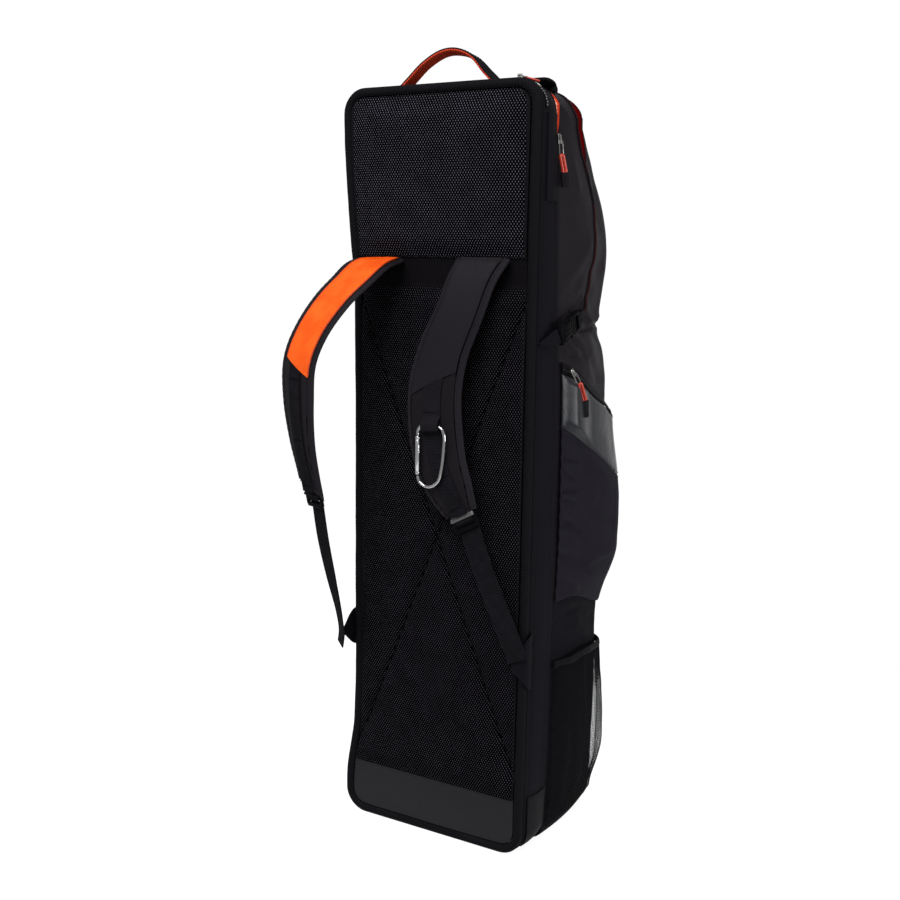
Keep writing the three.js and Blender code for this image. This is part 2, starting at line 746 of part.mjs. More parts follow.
function buildSidePocket() {
  const split = (share) => Math.min(pocketSplit(share), pocketTop(share) - POCKET_ZIP - 12);
  add("pocket_lower_panel", "cloth", pocketPanel(pocketLow, (share) => split(share) - SEAM, 7));
  const edge = (share) => pocketTop(share) - POCKET_ZIP - SEAM;
  add("pocket_upper_panel", "grey", pocketPanel((share) => split(share) + SEAM, edge, 3));

  const shares = [...steps(0.012, SIDE_SHARE, 6), 0.56, 0.63, ...steps(CORNER_SHARE, POCKET_SHARE, 3)];
  const face = (sink) =>
    grid([0, 0.5, 1], shares, (r, share) => {
      const z = pocketTop(share) - POCKET_ZIP * r + SEAM;
      const lift = lerp(3.2, pocketLift(share, pocketTop(share) - POCKET_ZIP), r);
      return skin(share, shareOfHeight(z), lift - sink);
    });
  add("pocket_zip", "webbing", between(face(0), face(1.4)));
}

function meshLift(share, z) {
  const ends = smooth(share, -0.05, 0.14) * (1 - smooth(share, MESH_SHARE - 0.15, MESH_SHARE + 0.02));
  const low = smooth(z, MESH_LOW_Z - 6, MESH_LOW_Z + 34);
  const around = lerp(0.8, 1, smooth(share, 0.2, 0.56));
  const high = 1 - 0.7 * smooth(z, 110, MESH_TOP_Z) * smooth(share, 0.3, 0.6);
  return 2.4 + MESH_BULGE * ends * low * around * high;
}

function buildMeshPocket() {
  const shares = [...steps(0.012, SIDE_SHARE, 6), 0.56, 0.63, CORNER_SHARE, MESH_SHARE];
  const sheet = (rows, low, high) => {
    const face = (lift) =>
      grid(rows, shares, (rise, share) => {
        const fall = MESH_TOP_FALL * smooth(share, 0.25, 0.66);
        const z = lerp(MESH_LOW_Z, MESH_TOP_Z - fall, rise);
        return skin(share, shareOfHeight(z), meshLift(share, z) + lift);
      });
    return between(face(high), face(low));
  };
  add("mesh_pocket", "mesh", sheet([0, 0.05, 0.12, 0.22, 0.4, 0.6, 0.8, 0.957], -1.2, 0));
  add("mesh_binding", "webbing", sheet([0.96, 1], -1.6, 0.8));
}

// Zips of the main compartment and of the front pocket.

// A narrow band over the skin along a path of shares and heights.
function skinBand(path, halfWidth, low, high) {
  const centres = path.map(({ share, v }) => skin(share, v, 0));
  const lifted = path.map(({ share, v }) => skin(share, v, 1).sub(skin(share, v, 0)));
  const across = centres.map((_, i) => {
    const before = centres[Math.max(i - 1, 0)];
    const after = centres[Math.min(i + 1, centres.length - 1)];
    return after.clone().sub(before).cross(lifted[i]).normalize();
  });
  const face = (lift) =>
    centres.map((centre, i) =>
      [-1, 1].map((side) =>
        centre.clone().addScaledVector(across[i], side * halfWidth(i)).addScaledVector(lifted[i], lift),
      ),
    );
  return between(face(high), face(low));
}

// Path of the front pocket's zip, up the side and over the top, to the middle.
const FRONT_ZIP = [
  { depth: 132, z: 706 },
  { depth: 141, z: 735 },
  { depth: 145, z: 765 },
  { depth: 147, z: 800 },
  { depth: 148, z: 840 },
  { depth: 144, z: 875 },
  { depth: 131, z: 903 },
];
const FRONT_ZIP_TOP = [
  { share: 0.5, over: 0.04 },
  { share: 0.48, over: 0.2 },
  { share: 0.47, over: 0.36 },
  { share: 0.49, over: 0.5 },
  { share: 0.57, over: 0.6 },
  { share: 0.75, over: 0.66 },
  { share: 1, over: 0.68 },
];

function buildFrontZip() {
  const side = FRONT_ZIP.map(({ depth, z }) => ({ share: shareAtDepth(depth, z), v: shareOfHeight(z) }));
  const top = FRONT_ZIP_TOP.map(({ share, over }) => ({ share, v: lerp(WALL_V, 1, over) }));
  const right = [...side, ...top];
  const left = right.slice(0, -1).map(({ share, v }) => ({ share: 2 - share, v }));
  buildFrontLining(right);
  add("front_zip", "red", skinBand([...right, ...left.reverse()], () => 2.6, 0.9, 2.4));
}

// Zip tape sewn along the lip of the open mouth.
function buildMouthTape() {
  const rising = steps(MOUTH_LOW + 20, TOP_CUT, 1).map((z) => skin(0, shareOfHeight(z)));
  const corner = steps(WALL_V, 1, 5).slice(1).map((v) => skin(0, v));
  const lip = steps(0, 1, 4).slice(1).map((share) => skin(share, 1));
  const right = [...rising, ...corner, ...lip];
  const left = right.slice(0, -1).map((point) => point.clone().setX(-point.x));
  const path = [...right, ...left.reverse()];
  const inward = path.map((point, i) => {
    const before = path[Math.max(i - 1, 0)];
    const after = path[Math.min(i + 1, path.length - 1)];
    return new THREE.Vector3(before.z - after.z, 0, after.x - before.x).normalize();
  });
  const face = (sink) =>
    path.map((point, i) =>
      [TAPE_GAP, TAPE_GAP + TAPE_WIDTH].map((back) =>
        point.clone().addScaledVector(inward[i], sink).add(new THREE.Vector3(0, -back, 0)),
      ),
    );
  add("main_zip_tape", "orange", between(face(0), face(1.4)));
}

// Lining that shows where the front pocket's zip is open, along the zip on its front side.
function buildFrontLining(path) {
  const shown = path.slice(4, 10);
  const last = shown.length - 1;
  const shifted = shown.map(({ share, v }) => ({ share: share + 0.04, v }));
  const width = (i) => 1 + 3.5 * Math.sin((Math.PI * (i + 0.3)) / (last + 0.6));
  add("front_pocket_lining", "red", skinBand(shifted, width, 0.8, 1.8));
}

// A slider with its pull, cord loop and grip, hanging from a point over the side.
function buildPuller(name, points, thickness) {
  const [body, loopTop, gripTop, end] = points;
  const stand = (from, to, width, thick, corner) => {
    const along = from.clone().sub(to).normalize();
    const out = new THREE.Vector3(1, 0, 0);
    const across = new THREE.Vector3().crossVectors(along, out).normalize();
    const middle = from.clone().add(to).multiplyScalar(0.5);
    const length = from.distanceTo(to) - 4 * GAP;
    return onBasis(slab(roundedOutline(width, length, corner), thick), middle, across, along);
  };
  add(`${name}_slider`, "metal", stand(body, loopTop, 8, thickness, 2));
  add(`${name}_loop`, "orange", stand(loopTop, gripTop, 6, 3, 1.5));
  add(`${name}_grip`, "plastic", stand(gripTop, end, 8, 3.6, 2));
}

function buildPullers() {
  const seamX = (z, out) => bodyHalf(z) + out;
  buildPuller(
    "main_zip",
    [
      place(seamX(921, 3.9), 46, 921),
      place(seamX(897, 4.2), 49, 897),
      place(seamX(877, 5.4), 55, 877),
      place(seamX(860, 5.6), 58, 860),
    ],
    5,
  );
  buildPuller(
    "pocket_zip",
    [place(156.6, 75, 634), place(157.4, 97, 610), place(158.4, 110, 587), place(158.4, 112, 566)],
    4,
  );
}

// Compression strap with its buckle, from the gusset to the front pocket's zip.
const COMPRESSION_REAR = [
  { x: 134.9, depth: 28, z: 666, width: 20, turn: 0 },
  { x: 144.5, depth: 37, z: 671.5, width: 20, turn: 0 },
  { x: 150.5, depth: 48, z: 676.5, width: 20, turn: 0 },
];
const COMPRESSION_FRONT = [
  { x: 151, depth: 102, z: 694, width: 20, turn: 0 },
  { x: 149.4, depth: 115, z: 697.8, width: 20, turn: 0 },
  { x: 144, depth: 128.5, z: 701.5, width: 20, turn: 0 },
];

function buildCompression() {
  const upright = new THREE.Vector3(0, 0, 1);
  const half = (frame) => frame.half;
  const rear = strapFrames(COMPRESSION_REAR, upright);
  const front = strapFrames(COMPRESSION_FRONT, upright);
  add("compression_rear", "webbing", band(rear, 0, 1, half, () => 0, () => WEBBING, 3));
  add("compression_front", "webbing", band(front, 0, 1, half, () => 0, () => WEBBING, 3));
  const start = place(151.6, 48.6, 676.8);
  const end = place(151.8, 101.4, 693.9);
  const along = end.clone().sub(start).normalize();
  const across = new THREE.Vector3().crossVectors(along, new THREE.Vector3(1, 0, 0)).normalize();
  const length = start.distanceTo(end);
  const socket = roundedOutline(28, length * 0.6, 5);
  const plug = roundedOutline(25, length * 0.4 - 2 * GAP, 3);
  const middle = (share) => start.clone().lerp(end, share);
  add("buckle_socket", "plastic", onBasis(slab(socket, 8), middle(0.3), across, along));
  add("buckle_plug", "plastic", onBasis(slab(plug, 6), middle(0.8), across, along));
}

// Top handle and the folded tab beside it.
const HANDLE = [
  { x: -88, depth: 35, z: 977.9, width: 25, turn: 90 },
  { x: -70, depth: 35, z: 979.2, width: 25, turn: 90 },
  { x: -58, depth: 35, z: 989, width: 25, turn: 90 },
  { x: -36, depth: 35, z: 1008, width: 25, turn: 90 },
  { x: -10, depth: 35, z: 1020, width: 25, turn: 90 },
  { x: 14, depth: 35, z: 1021, width: 25, turn: 90 },
  { x: 41, depth: 35, z: 1014, width: 25, turn: 90 },
  { x: 62, depth: 35, z: 994, width: 25, turn: 90 },
  { x: 75, depth: 35, z: 979.6, width: 25, turn: 90 },
  { x: 92, depth: 35, z: 977.9, width: 25, turn: 90 },
];
const TOP_TAB = [
  { x: 119, depth: 57, z: 975.5, width: 20, turn: 0 },
  { x: 118, depth: 48, z: 980, width: 20, turn: 0 },
  { x: 117, depth: 34, z: 980.5, width: 20, turn: 0 },
  { x: 116, depth: 25, z: 977.1, width: 20, turn: 0 },
];

function buildHandle() {
  const frames = strapFrames(HANDLE);
  const half = (frame) => frame.half;
  add("handle_strap", "webbing", band(frames, 0, 1, half, () => 0, () => 3, 24));
  add("handle_lining", "orange", band(frames, 0.14, 0.86, () => 10.5, () => -2, () => -0.7, 20));
  const tab = strapFrames(TOP_TAB);
  add("top_tab", "webbing", band(tab, 0, 1, half, () => 0, () => 3.2, 5));
}

// Shoulder straps.

function strapPad(frames, count) {
  const rings = steps(0, 1, count).map((share) => {
    const frame = frames(share);
    const flat = frame.half - STRAP_BORDER;
    const [edge, face] = [STRAP_EDGE / 2, STRAP_THICKNESS / 2];
    return [
      onFrame(frame, -frame.half, -edge),
      onFrame(frame, -flat, -face),
      onFrame(frame, flat, -face),
      onFrame(frame, frame.half, -edge),
      onFrame(frame, frame.half, edge),
      onFrame(frame, flat, face),
      onFrame(frame, -flat, face),
      onFrame(frame, -frame.half, edge),
    ];
  });
  return loft(rings);
}

const STRAP_STEPS = 16;

function ladderLock(frame) {
  const shape = roundedOutline(LADDER_WIDTH, LADDER_LENGTH, 3);
  shape.holes.push(slot(LADDER_WIDTH - 8, 4.6, 4.1), slot(LADDER_WIDTH - 8, 4.6, -4.1));
  const origin = frame.centre.clone().addScaledVector(frame.along, LADDER_OFF);
  return onBasis(slab(shape, LADDER_THICKNESS), origin, frame.across, frame.along);
}

function buildStrap(side, rows, adjuster, panel, arch, webSteps) {
  const frames = strapFrames(rows);
  const face = STRAP_THICKNESS / 2;
  add(`strap_pad_${side}`, "webbing", strapPad(frames, STRAP_STEPS));
  const inside = (frame) => frame.half - STRAP_BORDER - 0.5;
  const sheet = band(frames, 0.03, panel.end, inside, () => face + 0.9, () => face + 2.4, 16, [0, panel.slant]);
  add(`strap_panel_${side}`, panel.colour, sheet);
  const webLow = (r) => face + 0.9 + arch(r);
  const webHigh = (r) => webLow(r) + WEBBING;
  const webFrom = panel.end + 0.2 * Math.abs(panel.slant) + 0.025;
  add(`strap_webbing_${side}`, "webbing", band(frames, webFrom, 1, () => 12.5, webLow, webHigh, webSteps));
  const end = frames(1);
  add(`ladder_lock_${side}`, "plastic", ladderLock(end));
  // The adjuster starts behind the ladder lock's lower bar.
  const start = end.centre
    .clone()
    .addScaledVector(end.along, LADDER_OFF + LADDER_LENGTH * 0.42)
    .addScaledVector(end.out, -LADDER_THICKNESS / 2 - GAP - WEBBING);
  const first = { ...adjuster[0], x: start.x, depth: start.y - BACK_Y, z: start.z };
  const run = strapFrames([first, ...adjuster]);
  add(`adjuster_${side}`, "webbing", band(run, 0, 1, (frame) => frame.half, () => 0, () => WEBBING, 8));
}

// Sewn tabs that hold the adjusters: from the webbing round the rim into the side seam.
// open is half a tab's height. The left tab is pulled out by its free strap.
const RIGHT_TAB = [
  { x: 117, depth: 6.4, open: 9 },
  { x: 127, depth: 8, open: 20 },
  { x: 134.5, depth: 12.5, open: 30 },
  { x: 136.5, depth: 20, open: 36 },
  { x: 134.7, depth: 28.5, open: 38 },
];
const LEFT_TAB = [
  { x: -133, depth: -10.4, open: 10 },
  { x: -136.5, depth: 2, open: 16 },
  { x: -138, depth: 12, open: 22 },
  { x: -137, depth: 20, open: 27 },
  { x: -134.7, depth: 28.5, open: 30 },
];
const TAB_MIDDLE = 262;

function seamTab(columns) {
  const sign = Math.sign(columns[0].x);
  const face = (thick) =>
    grid([-1, 0, 1], columns, (r, { x, depth, open }) =>
      place(x + sign * thick * 0.6, depth - thick * 0.8, TAB_MIDDLE + r * open),
    );
  return between(face(2), face(0));
}

function buildStraps() {
  // The right strap's webbing arches over the carabiner's top bar.
  const loop = (r) => 8.6 * Math.exp(-(((r - 0.232) / 0.05) ** 4));
  buildStrap("right", RIGHT_STRAP, RIGHT_ADJUSTER, { colour: "webbing", end: 0.47, slant: -0.02 }, loop, 56);
  buildStrap("left", LEFT_STRAP, LEFT_ADJUSTER, { colour: "orange", end: 0.54, slant: 0.028 }, () => 0, 10);
  add("seam_tab_right", "webbing", seamTab(RIGHT_TAB));
  add("seam_tab_left", "webbing", seamTab(LEFT_TAB));
}

function buildCarabiner() {
  const ring = new THREE.Group();
  const strapFace = -17 - STRAP_THICKNESS / 2;
  ring.position.copy(place(CARABINER_AT.x, strapFace - CARABINER_LIFT, CARABINER_AT.z));
  const wire = new THREE.CatmullRomCurve3(
    CARABINER_WIRE.map(({ across, below }) => new THREE.Vector3(across, 0, -below)),
  );
  const round = (radius) => new THREE.Shape().absarc(0, 0, radius, 0, 2 * Math.PI);
  const tube = new THREE.ExtrudeGeometry(round(WIRE_RADIUS), {
    extrudePath: wire,
    steps: 40,
    curveSegments: 4,
  });
  add("carabiner_body", "metal", tube, ring);
  const gateLine = new THREE.LineCurve3(
    new THREE.Vector3(-18.5, 0, -GATE_TOP),
    new THREE.Vector3(-18.4, 0, -GATE_LOW),
  );
  const gate = new THREE.ExtrudeGeometry(round(GATE_RADIUS), {
    extrudePath: gateLine,
    steps: 1,
    curveSegments: 10,
  });
  add("carabiner_gate", "metal", gate, ring);
  bag.add(ring);
}

buildMainCompartment();
buildGusset();
buildBackPanel();
buildGussetPatches();
buildSidePocket();
buildMeshPocket();
buildFrontZip();
buildMouthTape();
buildPullers();
buildCompression();
buildHandle();
buildStraps();
buildCarabiner();

export default bag;
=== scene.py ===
"""Looks of a tall stick and kit bag that stands on its base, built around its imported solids.

Sizes are millimetres in the frame of the solids: +Z up, the strap side faces -Y, +X is the pocket side.
depth is measured from the rearmost plane of the back panel's rim towards +Y.
"""
import math

import bmesh
import bpy
import numpy as np
from mathutils import Matrix, Vector, noise


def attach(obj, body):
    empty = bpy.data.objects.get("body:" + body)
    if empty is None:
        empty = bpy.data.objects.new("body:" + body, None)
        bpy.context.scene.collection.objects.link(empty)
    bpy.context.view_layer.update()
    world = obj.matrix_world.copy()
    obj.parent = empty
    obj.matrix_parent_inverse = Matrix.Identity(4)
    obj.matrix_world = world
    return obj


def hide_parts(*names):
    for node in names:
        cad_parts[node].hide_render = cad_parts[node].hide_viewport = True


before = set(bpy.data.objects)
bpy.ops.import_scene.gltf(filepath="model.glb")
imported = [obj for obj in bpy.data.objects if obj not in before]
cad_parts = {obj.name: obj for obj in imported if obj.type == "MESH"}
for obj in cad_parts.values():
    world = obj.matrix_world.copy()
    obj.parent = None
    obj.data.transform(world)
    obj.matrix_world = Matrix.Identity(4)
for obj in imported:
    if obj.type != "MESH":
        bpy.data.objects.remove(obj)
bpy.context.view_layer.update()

MM = 0.001


def table(names, *rows):
    """Rows of numbers as a list of dicts with these column names."""
    return [dict(zip(names.split(), row)) for row in rows]


# Overall sizes, as in the solids.
HEIGHT = 980
BACK_Y = -125
MAIN_TOP = 976
GUSSET_TOP = 972
TOP_CUT = 930
CLOTH = 2
WEBBING = 1.6
GAP = 0.3
SEAM = 0.4

RIM_RADIUS = 6
RIM_CORNER = 32
BOARD_BACK = 6.5
PAD_INSET = 2 * RIM_RADIUS + 1

BASE_ROUND = 18
FRONT_ROUND = 45
SIDE_BULGE = 5
FRONT_BULGE = 7
MOUTH_WIDTH = 10
MOUTH_LOW = 905
MOUTH_WIDE = 940
LIP_CORNER = 30

SIDE_SHARE = 0.5
CORNER_SHARE = 0.7
SEAM_SHARE = 0.6
BASE_V = 0.06
WALL_V = 0.86
GUSSET_REAR = 13.4
GUSSET_BELLY = 2.5

YOKE_LOW = 732
YOKE_TOP = 770
KICK_TOP = 76
QUILT_TOP = 715
QUILT_LOW = 105

BACK = table(
    "z half recess",
    (0, 138, 0), (60, 138, 0), (135, 133.5, 11), (360, 133.5, 14),
    (720, 134, 13), (800, 136.5, 7), (900, 140, 1), (980, 141, 0),
)
BODY = table(
    "z half front seam",
    (0, 139, 246, 60), (120, 141, 250, 66), (262, 142, 246, 67), (400, 143, 250, 70),
    (600, 143, 250, 69), (650, 142, 239, 66), (675, 141, 222, 64), (770, 142, 243, 57),
    (830, 142, 226, 53), (883, 141, 190, 50), (930, 140, 158, 47),
)
FOLDS = table(
    "z depth lift tall deep",
    (640, 150, 3.5, 26, 60), (690, 120, -5, 20, 80), (800, 130, 3, 60, 50), (290, 110, -4, 16, 70),
)

# Creases of the cloth: a ridge or groove from one place to another, its height and its half width.
SIDE_CREASES = table(
    "depth_a z_a depth_b z_b lift width",
    (70, 652, 128, 668, 2.2, 6), (76, 640, 150, 655, -2.4, 6), (88, 700, 160, 722, -2.2, 8),
    (120, 715, 190, 672, 2.6, 7), (130, 690, 205, 664, -2.6, 7), (110, 722, 150, 800, 1.6, 9),
    (74, 728, 138, 812, 3, 13), (140, 640, 200, 612, -2, 8), (80, 300, 180, 288, 2, 7),
    (74, 318, 120, 306, -1.8, 5), (150, 296, 215, 270, -2.2, 8), (96, 268, 170, 258, -1.6, 6),
    (120, 740, 190, 770, -1.6, 12), (74, 890, 110, 850, 1.4, 8), (150, 860, 190, 800, -1.5, 10),
    (84, 668, 118, 640, 2.6, 4), (92, 664, 134, 652, -2.6, 4), (66, 664, 84, 640, -2.4, 4),
    (104, 700, 132, 726, 2, 4), (62, 322, 118, 312, 3.2, 3.2), (62, 300, 150, 306, -3, 3.5),
    (70, 284, 160, 276, 2.6, 4),
)
POCKET_CREASES = table(
    "depth_a z_a depth_b z_b lift width",
    (68, 522, 104, 508, -3.4, 4), (68, 508, 96, 494, 3, 4), (68, 478, 108, 470, -3.6, 4),
    (68, 468, 100, 458, 2.6, 4), (68, 448, 94, 428, 2.6, 4), (70, 430, 120, 404, -2.8, 5),
    (76, 380, 150, 352, -3.2, 6), (68, 398, 112, 384, 2.6, 5), (70, 356, 132, 338, 3, 5),
    (70, 346, 118, 330, -2.6, 4), (130, 362, 215, 376, 2.4, 8), (140, 424, 215, 400, -2.2, 9),
    (104, 524, 176, 470, 2.2, 11), (90, 544, 130, 476, -2.4, 8), (96, 440, 150, 470, 1.8, 8),
)

POCKET_TOP = table(
    "share z", (0, 643), (0.15, 628), (0.3, 604), (0.45, 586), (0.58, 561), (0.7, 518), (0.84, 440)
)
POCKET_BOTTOM_Z = 330
POCKET_BOTTOM_FALL = 36
POCKET_SHARE = 0.84
POCKET_BULGE = 21
POCKET_ZIP = 14
PANEL_SPLIT_Z = 561
PANEL_SPLIT_FALL = 94

MESH_TOP_Z = 250
MESH_LOW_Z = 17
MESH_TOP_FALL = 14
MESH_SHARE = 0.8
MESH_BULGE = 12
MESH_BOUND = 0.957
SIDE_START = 0.012
STRAP_DEFAULTS = {"width": 0, "turn": 0, "square": 1, "roll": 0}

RIGHT_STRAP = table(
    "x depth z width square",
    (65, 7.8, 768, 75, 0), (56, -4, 744, 69, 0.4), (44, -12, 704, 67, 1), (24, -16, 655, 71, 1),
    (13, -17, 605, 77, 1), (14, -17, 558, 79, 1), (22, -17, 515, 76, 1), (38, -16, 478, 66, 1),
    (52, -14, 452, 49, 1),
)
LEFT_STRAP = table(
    "x depth z width turn",
    (-88, 12.2, 763.5, 70, 0), (-84, -28, 755, 70, -2), (-88, -52, 739, 70, -7), (-101, -76, 714, 70, -13),
    (-118, -95, 678, 70, -18), (-130, -104, 640, 70, -20), (-131, -106, 592, 69, -22),
    (-128, -103, 541, 62, -25), (-123, -98, 502, 53, -25), (-120, -94, 476, 47, -22),
)
RIGHT_ADJUSTER = table(
    "x depth z width", (76, -5, 390, 30), (96, -1, 340, 30), (118, 2, 290, 30), (128, 3.9, 267, 30)
)
LEFT_ADJUSTER = table(
    "x depth z width turn",
    (-120, -72, 408, 27, -23), (-126, -46, 346, 27, -28), (-131, -22, 290, 27, -38),
    (-133, -14, 262, 27, -40), (-135, -14, 246, 27, -40),
)
RIGHT_TAB = table(
    "x depth open", (117, 6.4, 9), (127, 8, 20), (134.5, 12.5, 30), (136.5, 20, 36), (134.7, 28.5, 38)
)
LEFT_TAB = table(
    "x depth open", (-133, -10.4, 4), (-136.5, 2, 9), (-138, 12, 17), (-137, 20, 24), (-134.7, 28.5, 28)
)
TAB_MIDDLE = 262
STRAP_THICKNESS = 11
STRAP_BORDER = 7
LADDER_LENGTH = 20
LADDER_WIDTH = 38
LADDER_THICKNESS = 4.2
LADDER_OFF = LADDER_LENGTH / 2 + 0.4
LOCK_TILT = math.radians(32)
LADDER_LOCK = table(
    "wide long thick bevel side run lift tilt",
    (4.4, LADDER_LENGTH, LADDER_THICKNESS, 1.3, 2.2 - LADDER_WIDTH / 2, 0, 0, 0),
    (4.4, LADDER_LENGTH, LADDER_THICKNESS, 1.3, LADDER_WIDTH / 2 - 2.2, 0, 0, 0),
    (LADDER_WIDTH - 6, 3.5, 3.2, 1.5, 0, 0, 0, 0),
    (LADDER_WIDTH - 6, 3.5, 4.2, 1.5, 0, 8.2, 0, 0),
    (LADDER_WIDTH - 1, 9.4, 3, 1.2, 0, -7.4, 1.2, LOCK_TILT),
    (LADDER_WIDTH - 4, 3.2, 2.2, 0.9, 0, 10.4, 1.2, 0),
)

HANDLE = table(
    "x depth z width turn roll",
    (-88, 35, 977.9, 25, 90, 0), (-70, 35, 979.2, 25, 90, 0), (-58, 35, 989, 22, 90, 0),
    (-36, 35, 1007, 21, 90, -2), (-10, 35, 1019, 21, 90, -6), (11, 35, 1019.5, 21, 90, -10),
    (33, 35, 1011.5, 21, 90, -5), (53, 35, 992, 22, 90, 3), (68, 35, 980.2, 25, 90, 0),
    (92, 35, 977.9, 25, 90, 0),
)
TOP_TAB = table(
    "x depth z width",
    (119, 70, 971, 20), (118.5, 66, 977, 20), (118, 52, 980, 20), (117, 36, 979.2, 20), (116, 25, 976.5, 20),
)
COMPRESSION_REAR = table("x depth z", (134.9, 28, 666), (144.5, 37, 671.5), (150.5, 48, 676.5))
COMPRESSION_FRONT = table("x depth z", (151, 102, 694), (149.4, 115, 697.8), (144, 128.5, 701.5))
BUCKLE_START = (151.6, 48.6, 676.8)
BUCKLE_END = (151.8, 101.4, 693.9)
BUCKLE_LENGTH = math.dist(BUCKLE_START, BUCKLE_END)
BUCKLE_SOCKET = table(
    "wide long thick bevel side run lift",
    (20, BUCKLE_LENGTH * 0.58, 7.6, 2, 0, BUCKLE_LENGTH * 0.3, 0),
    (28, 8, 7.8, 2.2, 0, BUCKLE_LENGTH * 0.09, 0),
    (27.5, 7, 8, 2, 0, BUCKLE_LENGTH * 0.53, 0),
    (1.6, BUCKLE_LENGTH * 0.34, 1.6, 0.5, -5.5, BUCKLE_LENGTH * 0.3, 3.7),
    (1.6, BUCKLE_LENGTH * 0.34, 1.6, 0.5, 0, BUCKLE_LENGTH * 0.3, 3.7),
    (1.6, BUCKLE_LENGTH * 0.34, 1.6, 0.5, 5.5, BUCKLE_LENGTH * 0.3, 3.7),
    (23, 2.2, 1.8, 0.6, 0, BUCKLE_LENGTH * 0.14, 3.8),
)
BUCKLE_PLUG = table(
    "wide long thick bevel side run lift",
    (25, 6, 6, 1.4, 0, BUCKLE_LENGTH * 0.68, 0),
    (25, 4, 5, 1.2, 0, BUCKLE_LENGTH * 0.965, 0),
    (3.6, BUCKLE_LENGTH * 0.39, 6, 1.2, -10.7, BUCKLE_LENGTH * 0.8, 0),
    (3.6, BUCKLE_LENGTH * 0.39, 6, 1.2, 10.7, BUCKLE_LENGTH * 0.8, 0),
    (18, 3, 3, 0.8, 0, BUCKLE_LENGTH * 0.84, -0.6),
    (3, BUCKLE_LENGTH * 0.3, 5, 1.2, -12, BUCKLE_LENGTH * 0.32, 0),
    (3, BUCKLE_LENGTH * 0.3, 5, 1.2, 12, BUCKLE_LENGTH * 0.32, 0),
)

# Zip pulls from the slider's start down: the tops of the loop and the grip, and the grip's end.
MAIN_PULL = table("over depth z", (3.9, 46, 918), (4.2, 50, 891), (5.4, 55.5, 874), (5.6, 58, 855))
POCKET_PULL = table("x depth z", (156.6, 75, 634), (157.4, 97, 612), (158.4, 109, 592), (158.4, 112, 568))
PULL_FACING = (0.78, -0.62, 0)
GATE_PROFILE = table(
    "down radius",
    (0, 1.8), (0.4, 2.5), (1.2, 2.9), (2.4, 3), (4, 3), (4.4, 2.7), (5, 2.7), (5.4, 3), (20, 3), (44, 3),
    (44.4, 2.7), (45, 2.7), (45.4, 3), (47.2, 3), (48.4, 2.9), (49, 2.5), (49.3, 1.8),
)

FRONT_ZIP = table(
    "depth z", (132, 706), (141, 735), (145, 765), (147, 800), (147, 840), (131, 875), (110, 903)
)
FRONT_ZIP_TOP = table(
    "share over", (0.35, 0.04), (0.34, 0.2), (0.35, 0.36), (0.41, 0.5), (0.53, 0.6), (0.75, 0.66), (1, 0.68)
)

CARABINER_WIRE = table(
    "across below",
    (-18.5, 13.5), (-18, 7), (-14, 1.5), (-6, 0), (8, 0), (16.5, 2.5), (20, 11), (19.5, 30), (16.5, 55),
    (12, 69), (2, 77), (-8, 77), (-15.5, 72), (-18.3, 65),
)
WIRE_RADIUS = 2.4
GATE_TOP = 14
GATE_LOW = 63.3
GATE_TOP_ACROSS = -18.5
GATE_LOW_ACROSS = -18.4
CARABINER_AT = (14, 562)
CARABINER_DEPTH = -17 - STRAP_THICKNESS / 2 - 6.2


# Numbers and curves.

def lerp(a, b, t):
    return a + (b - a) * t


def smooth(value, low, high):
    s = np.clip((value - low) / (high - low), 0, 1)
    return s * s * (3 - 2 * s)


def window(value, low, low_end, high, high_end):
    """Rises from 0 to 1 between the first two marks and falls back between the last two."""
    return smooth(value, low, low_end) * (1 - smooth(value, high, high_end))


def dent(distance, width):
    """A round hump of height 1 where the distance is 0."""
    return np.exp(-((distance / width) ** 2))


def steps(start, end, count):
    return np.linspace(start, end, count + 1)


def unit(vectors):
    return vectors / np.maximum(np.linalg.norm(vectors, axis=-1, keepdims=True), 1e-9)


def travelled(path):
    """Distance along a path at each of its points."""
    return np.concatenate([[0], np.cumsum(np.linalg.norm(np.diff(path, axis=0), axis=-1))])


def sample(values, distance, marks):
    """Values given along a path, read at other distances along it."""
    return np.stack([np.interp(marks, distance, values[:, k]) for k in range(3)], axis=-1)


def place(x, depth, z):
    return np.stack(np.broadcast_arrays(np.asarray(x, float), BACK_Y + np.asarray(depth, float), z), axis=-1)


def column(rows, by, name):
    """A smooth curve through one column of a table, read by another column that rises from row to row."""
    xs = np.array([row[by] for row in rows], float)
    ys = np.array([row[name] for row in rows], float)
    before = np.maximum(np.arange(len(xs)) - 1, 0)
    after = np.minimum(np.arange(len(xs)) + 1, len(xs) - 1)
    slopes = (ys[after] - ys[before]) / (xs[after] - xs[before])

    def read(value):
        x = np.clip(value, xs[0], xs[-1])
        i = np.clip(np.searchsorted(xs, x, side="right") - 1, 0, len(xs) - 2)
        span = xs[i + 1] - xs[i]
        s = (x - xs[i]) / span
        turned = lerp(ys[i], ys[i + 1], s * s * (3 - 2 * s))
        leave = s * (1 - s) ** 2 * span * slopes[i]
        arrive = s * s * (s - 1) * span * slopes[i + 1]
        return turned + leave + arrive

    return read


back_half = column(BACK, "z", "half")
back_recess = column(BACK, "z", "recess")
body_half = column(BODY, "z", "half")
body_front = column(BODY, "z", "front")
seam_depth = column(BODY, "z", "seam")
pocket_top = column(POCKET_TOP, "share", "z")


def round_inset(radius, distance):
    """How much a round of this radius takes off, at this distance from its end."""
    rest = np.clip(radius - distance, 0, radius)
    return radius - np.sqrt(radius * radius - rest * rest)


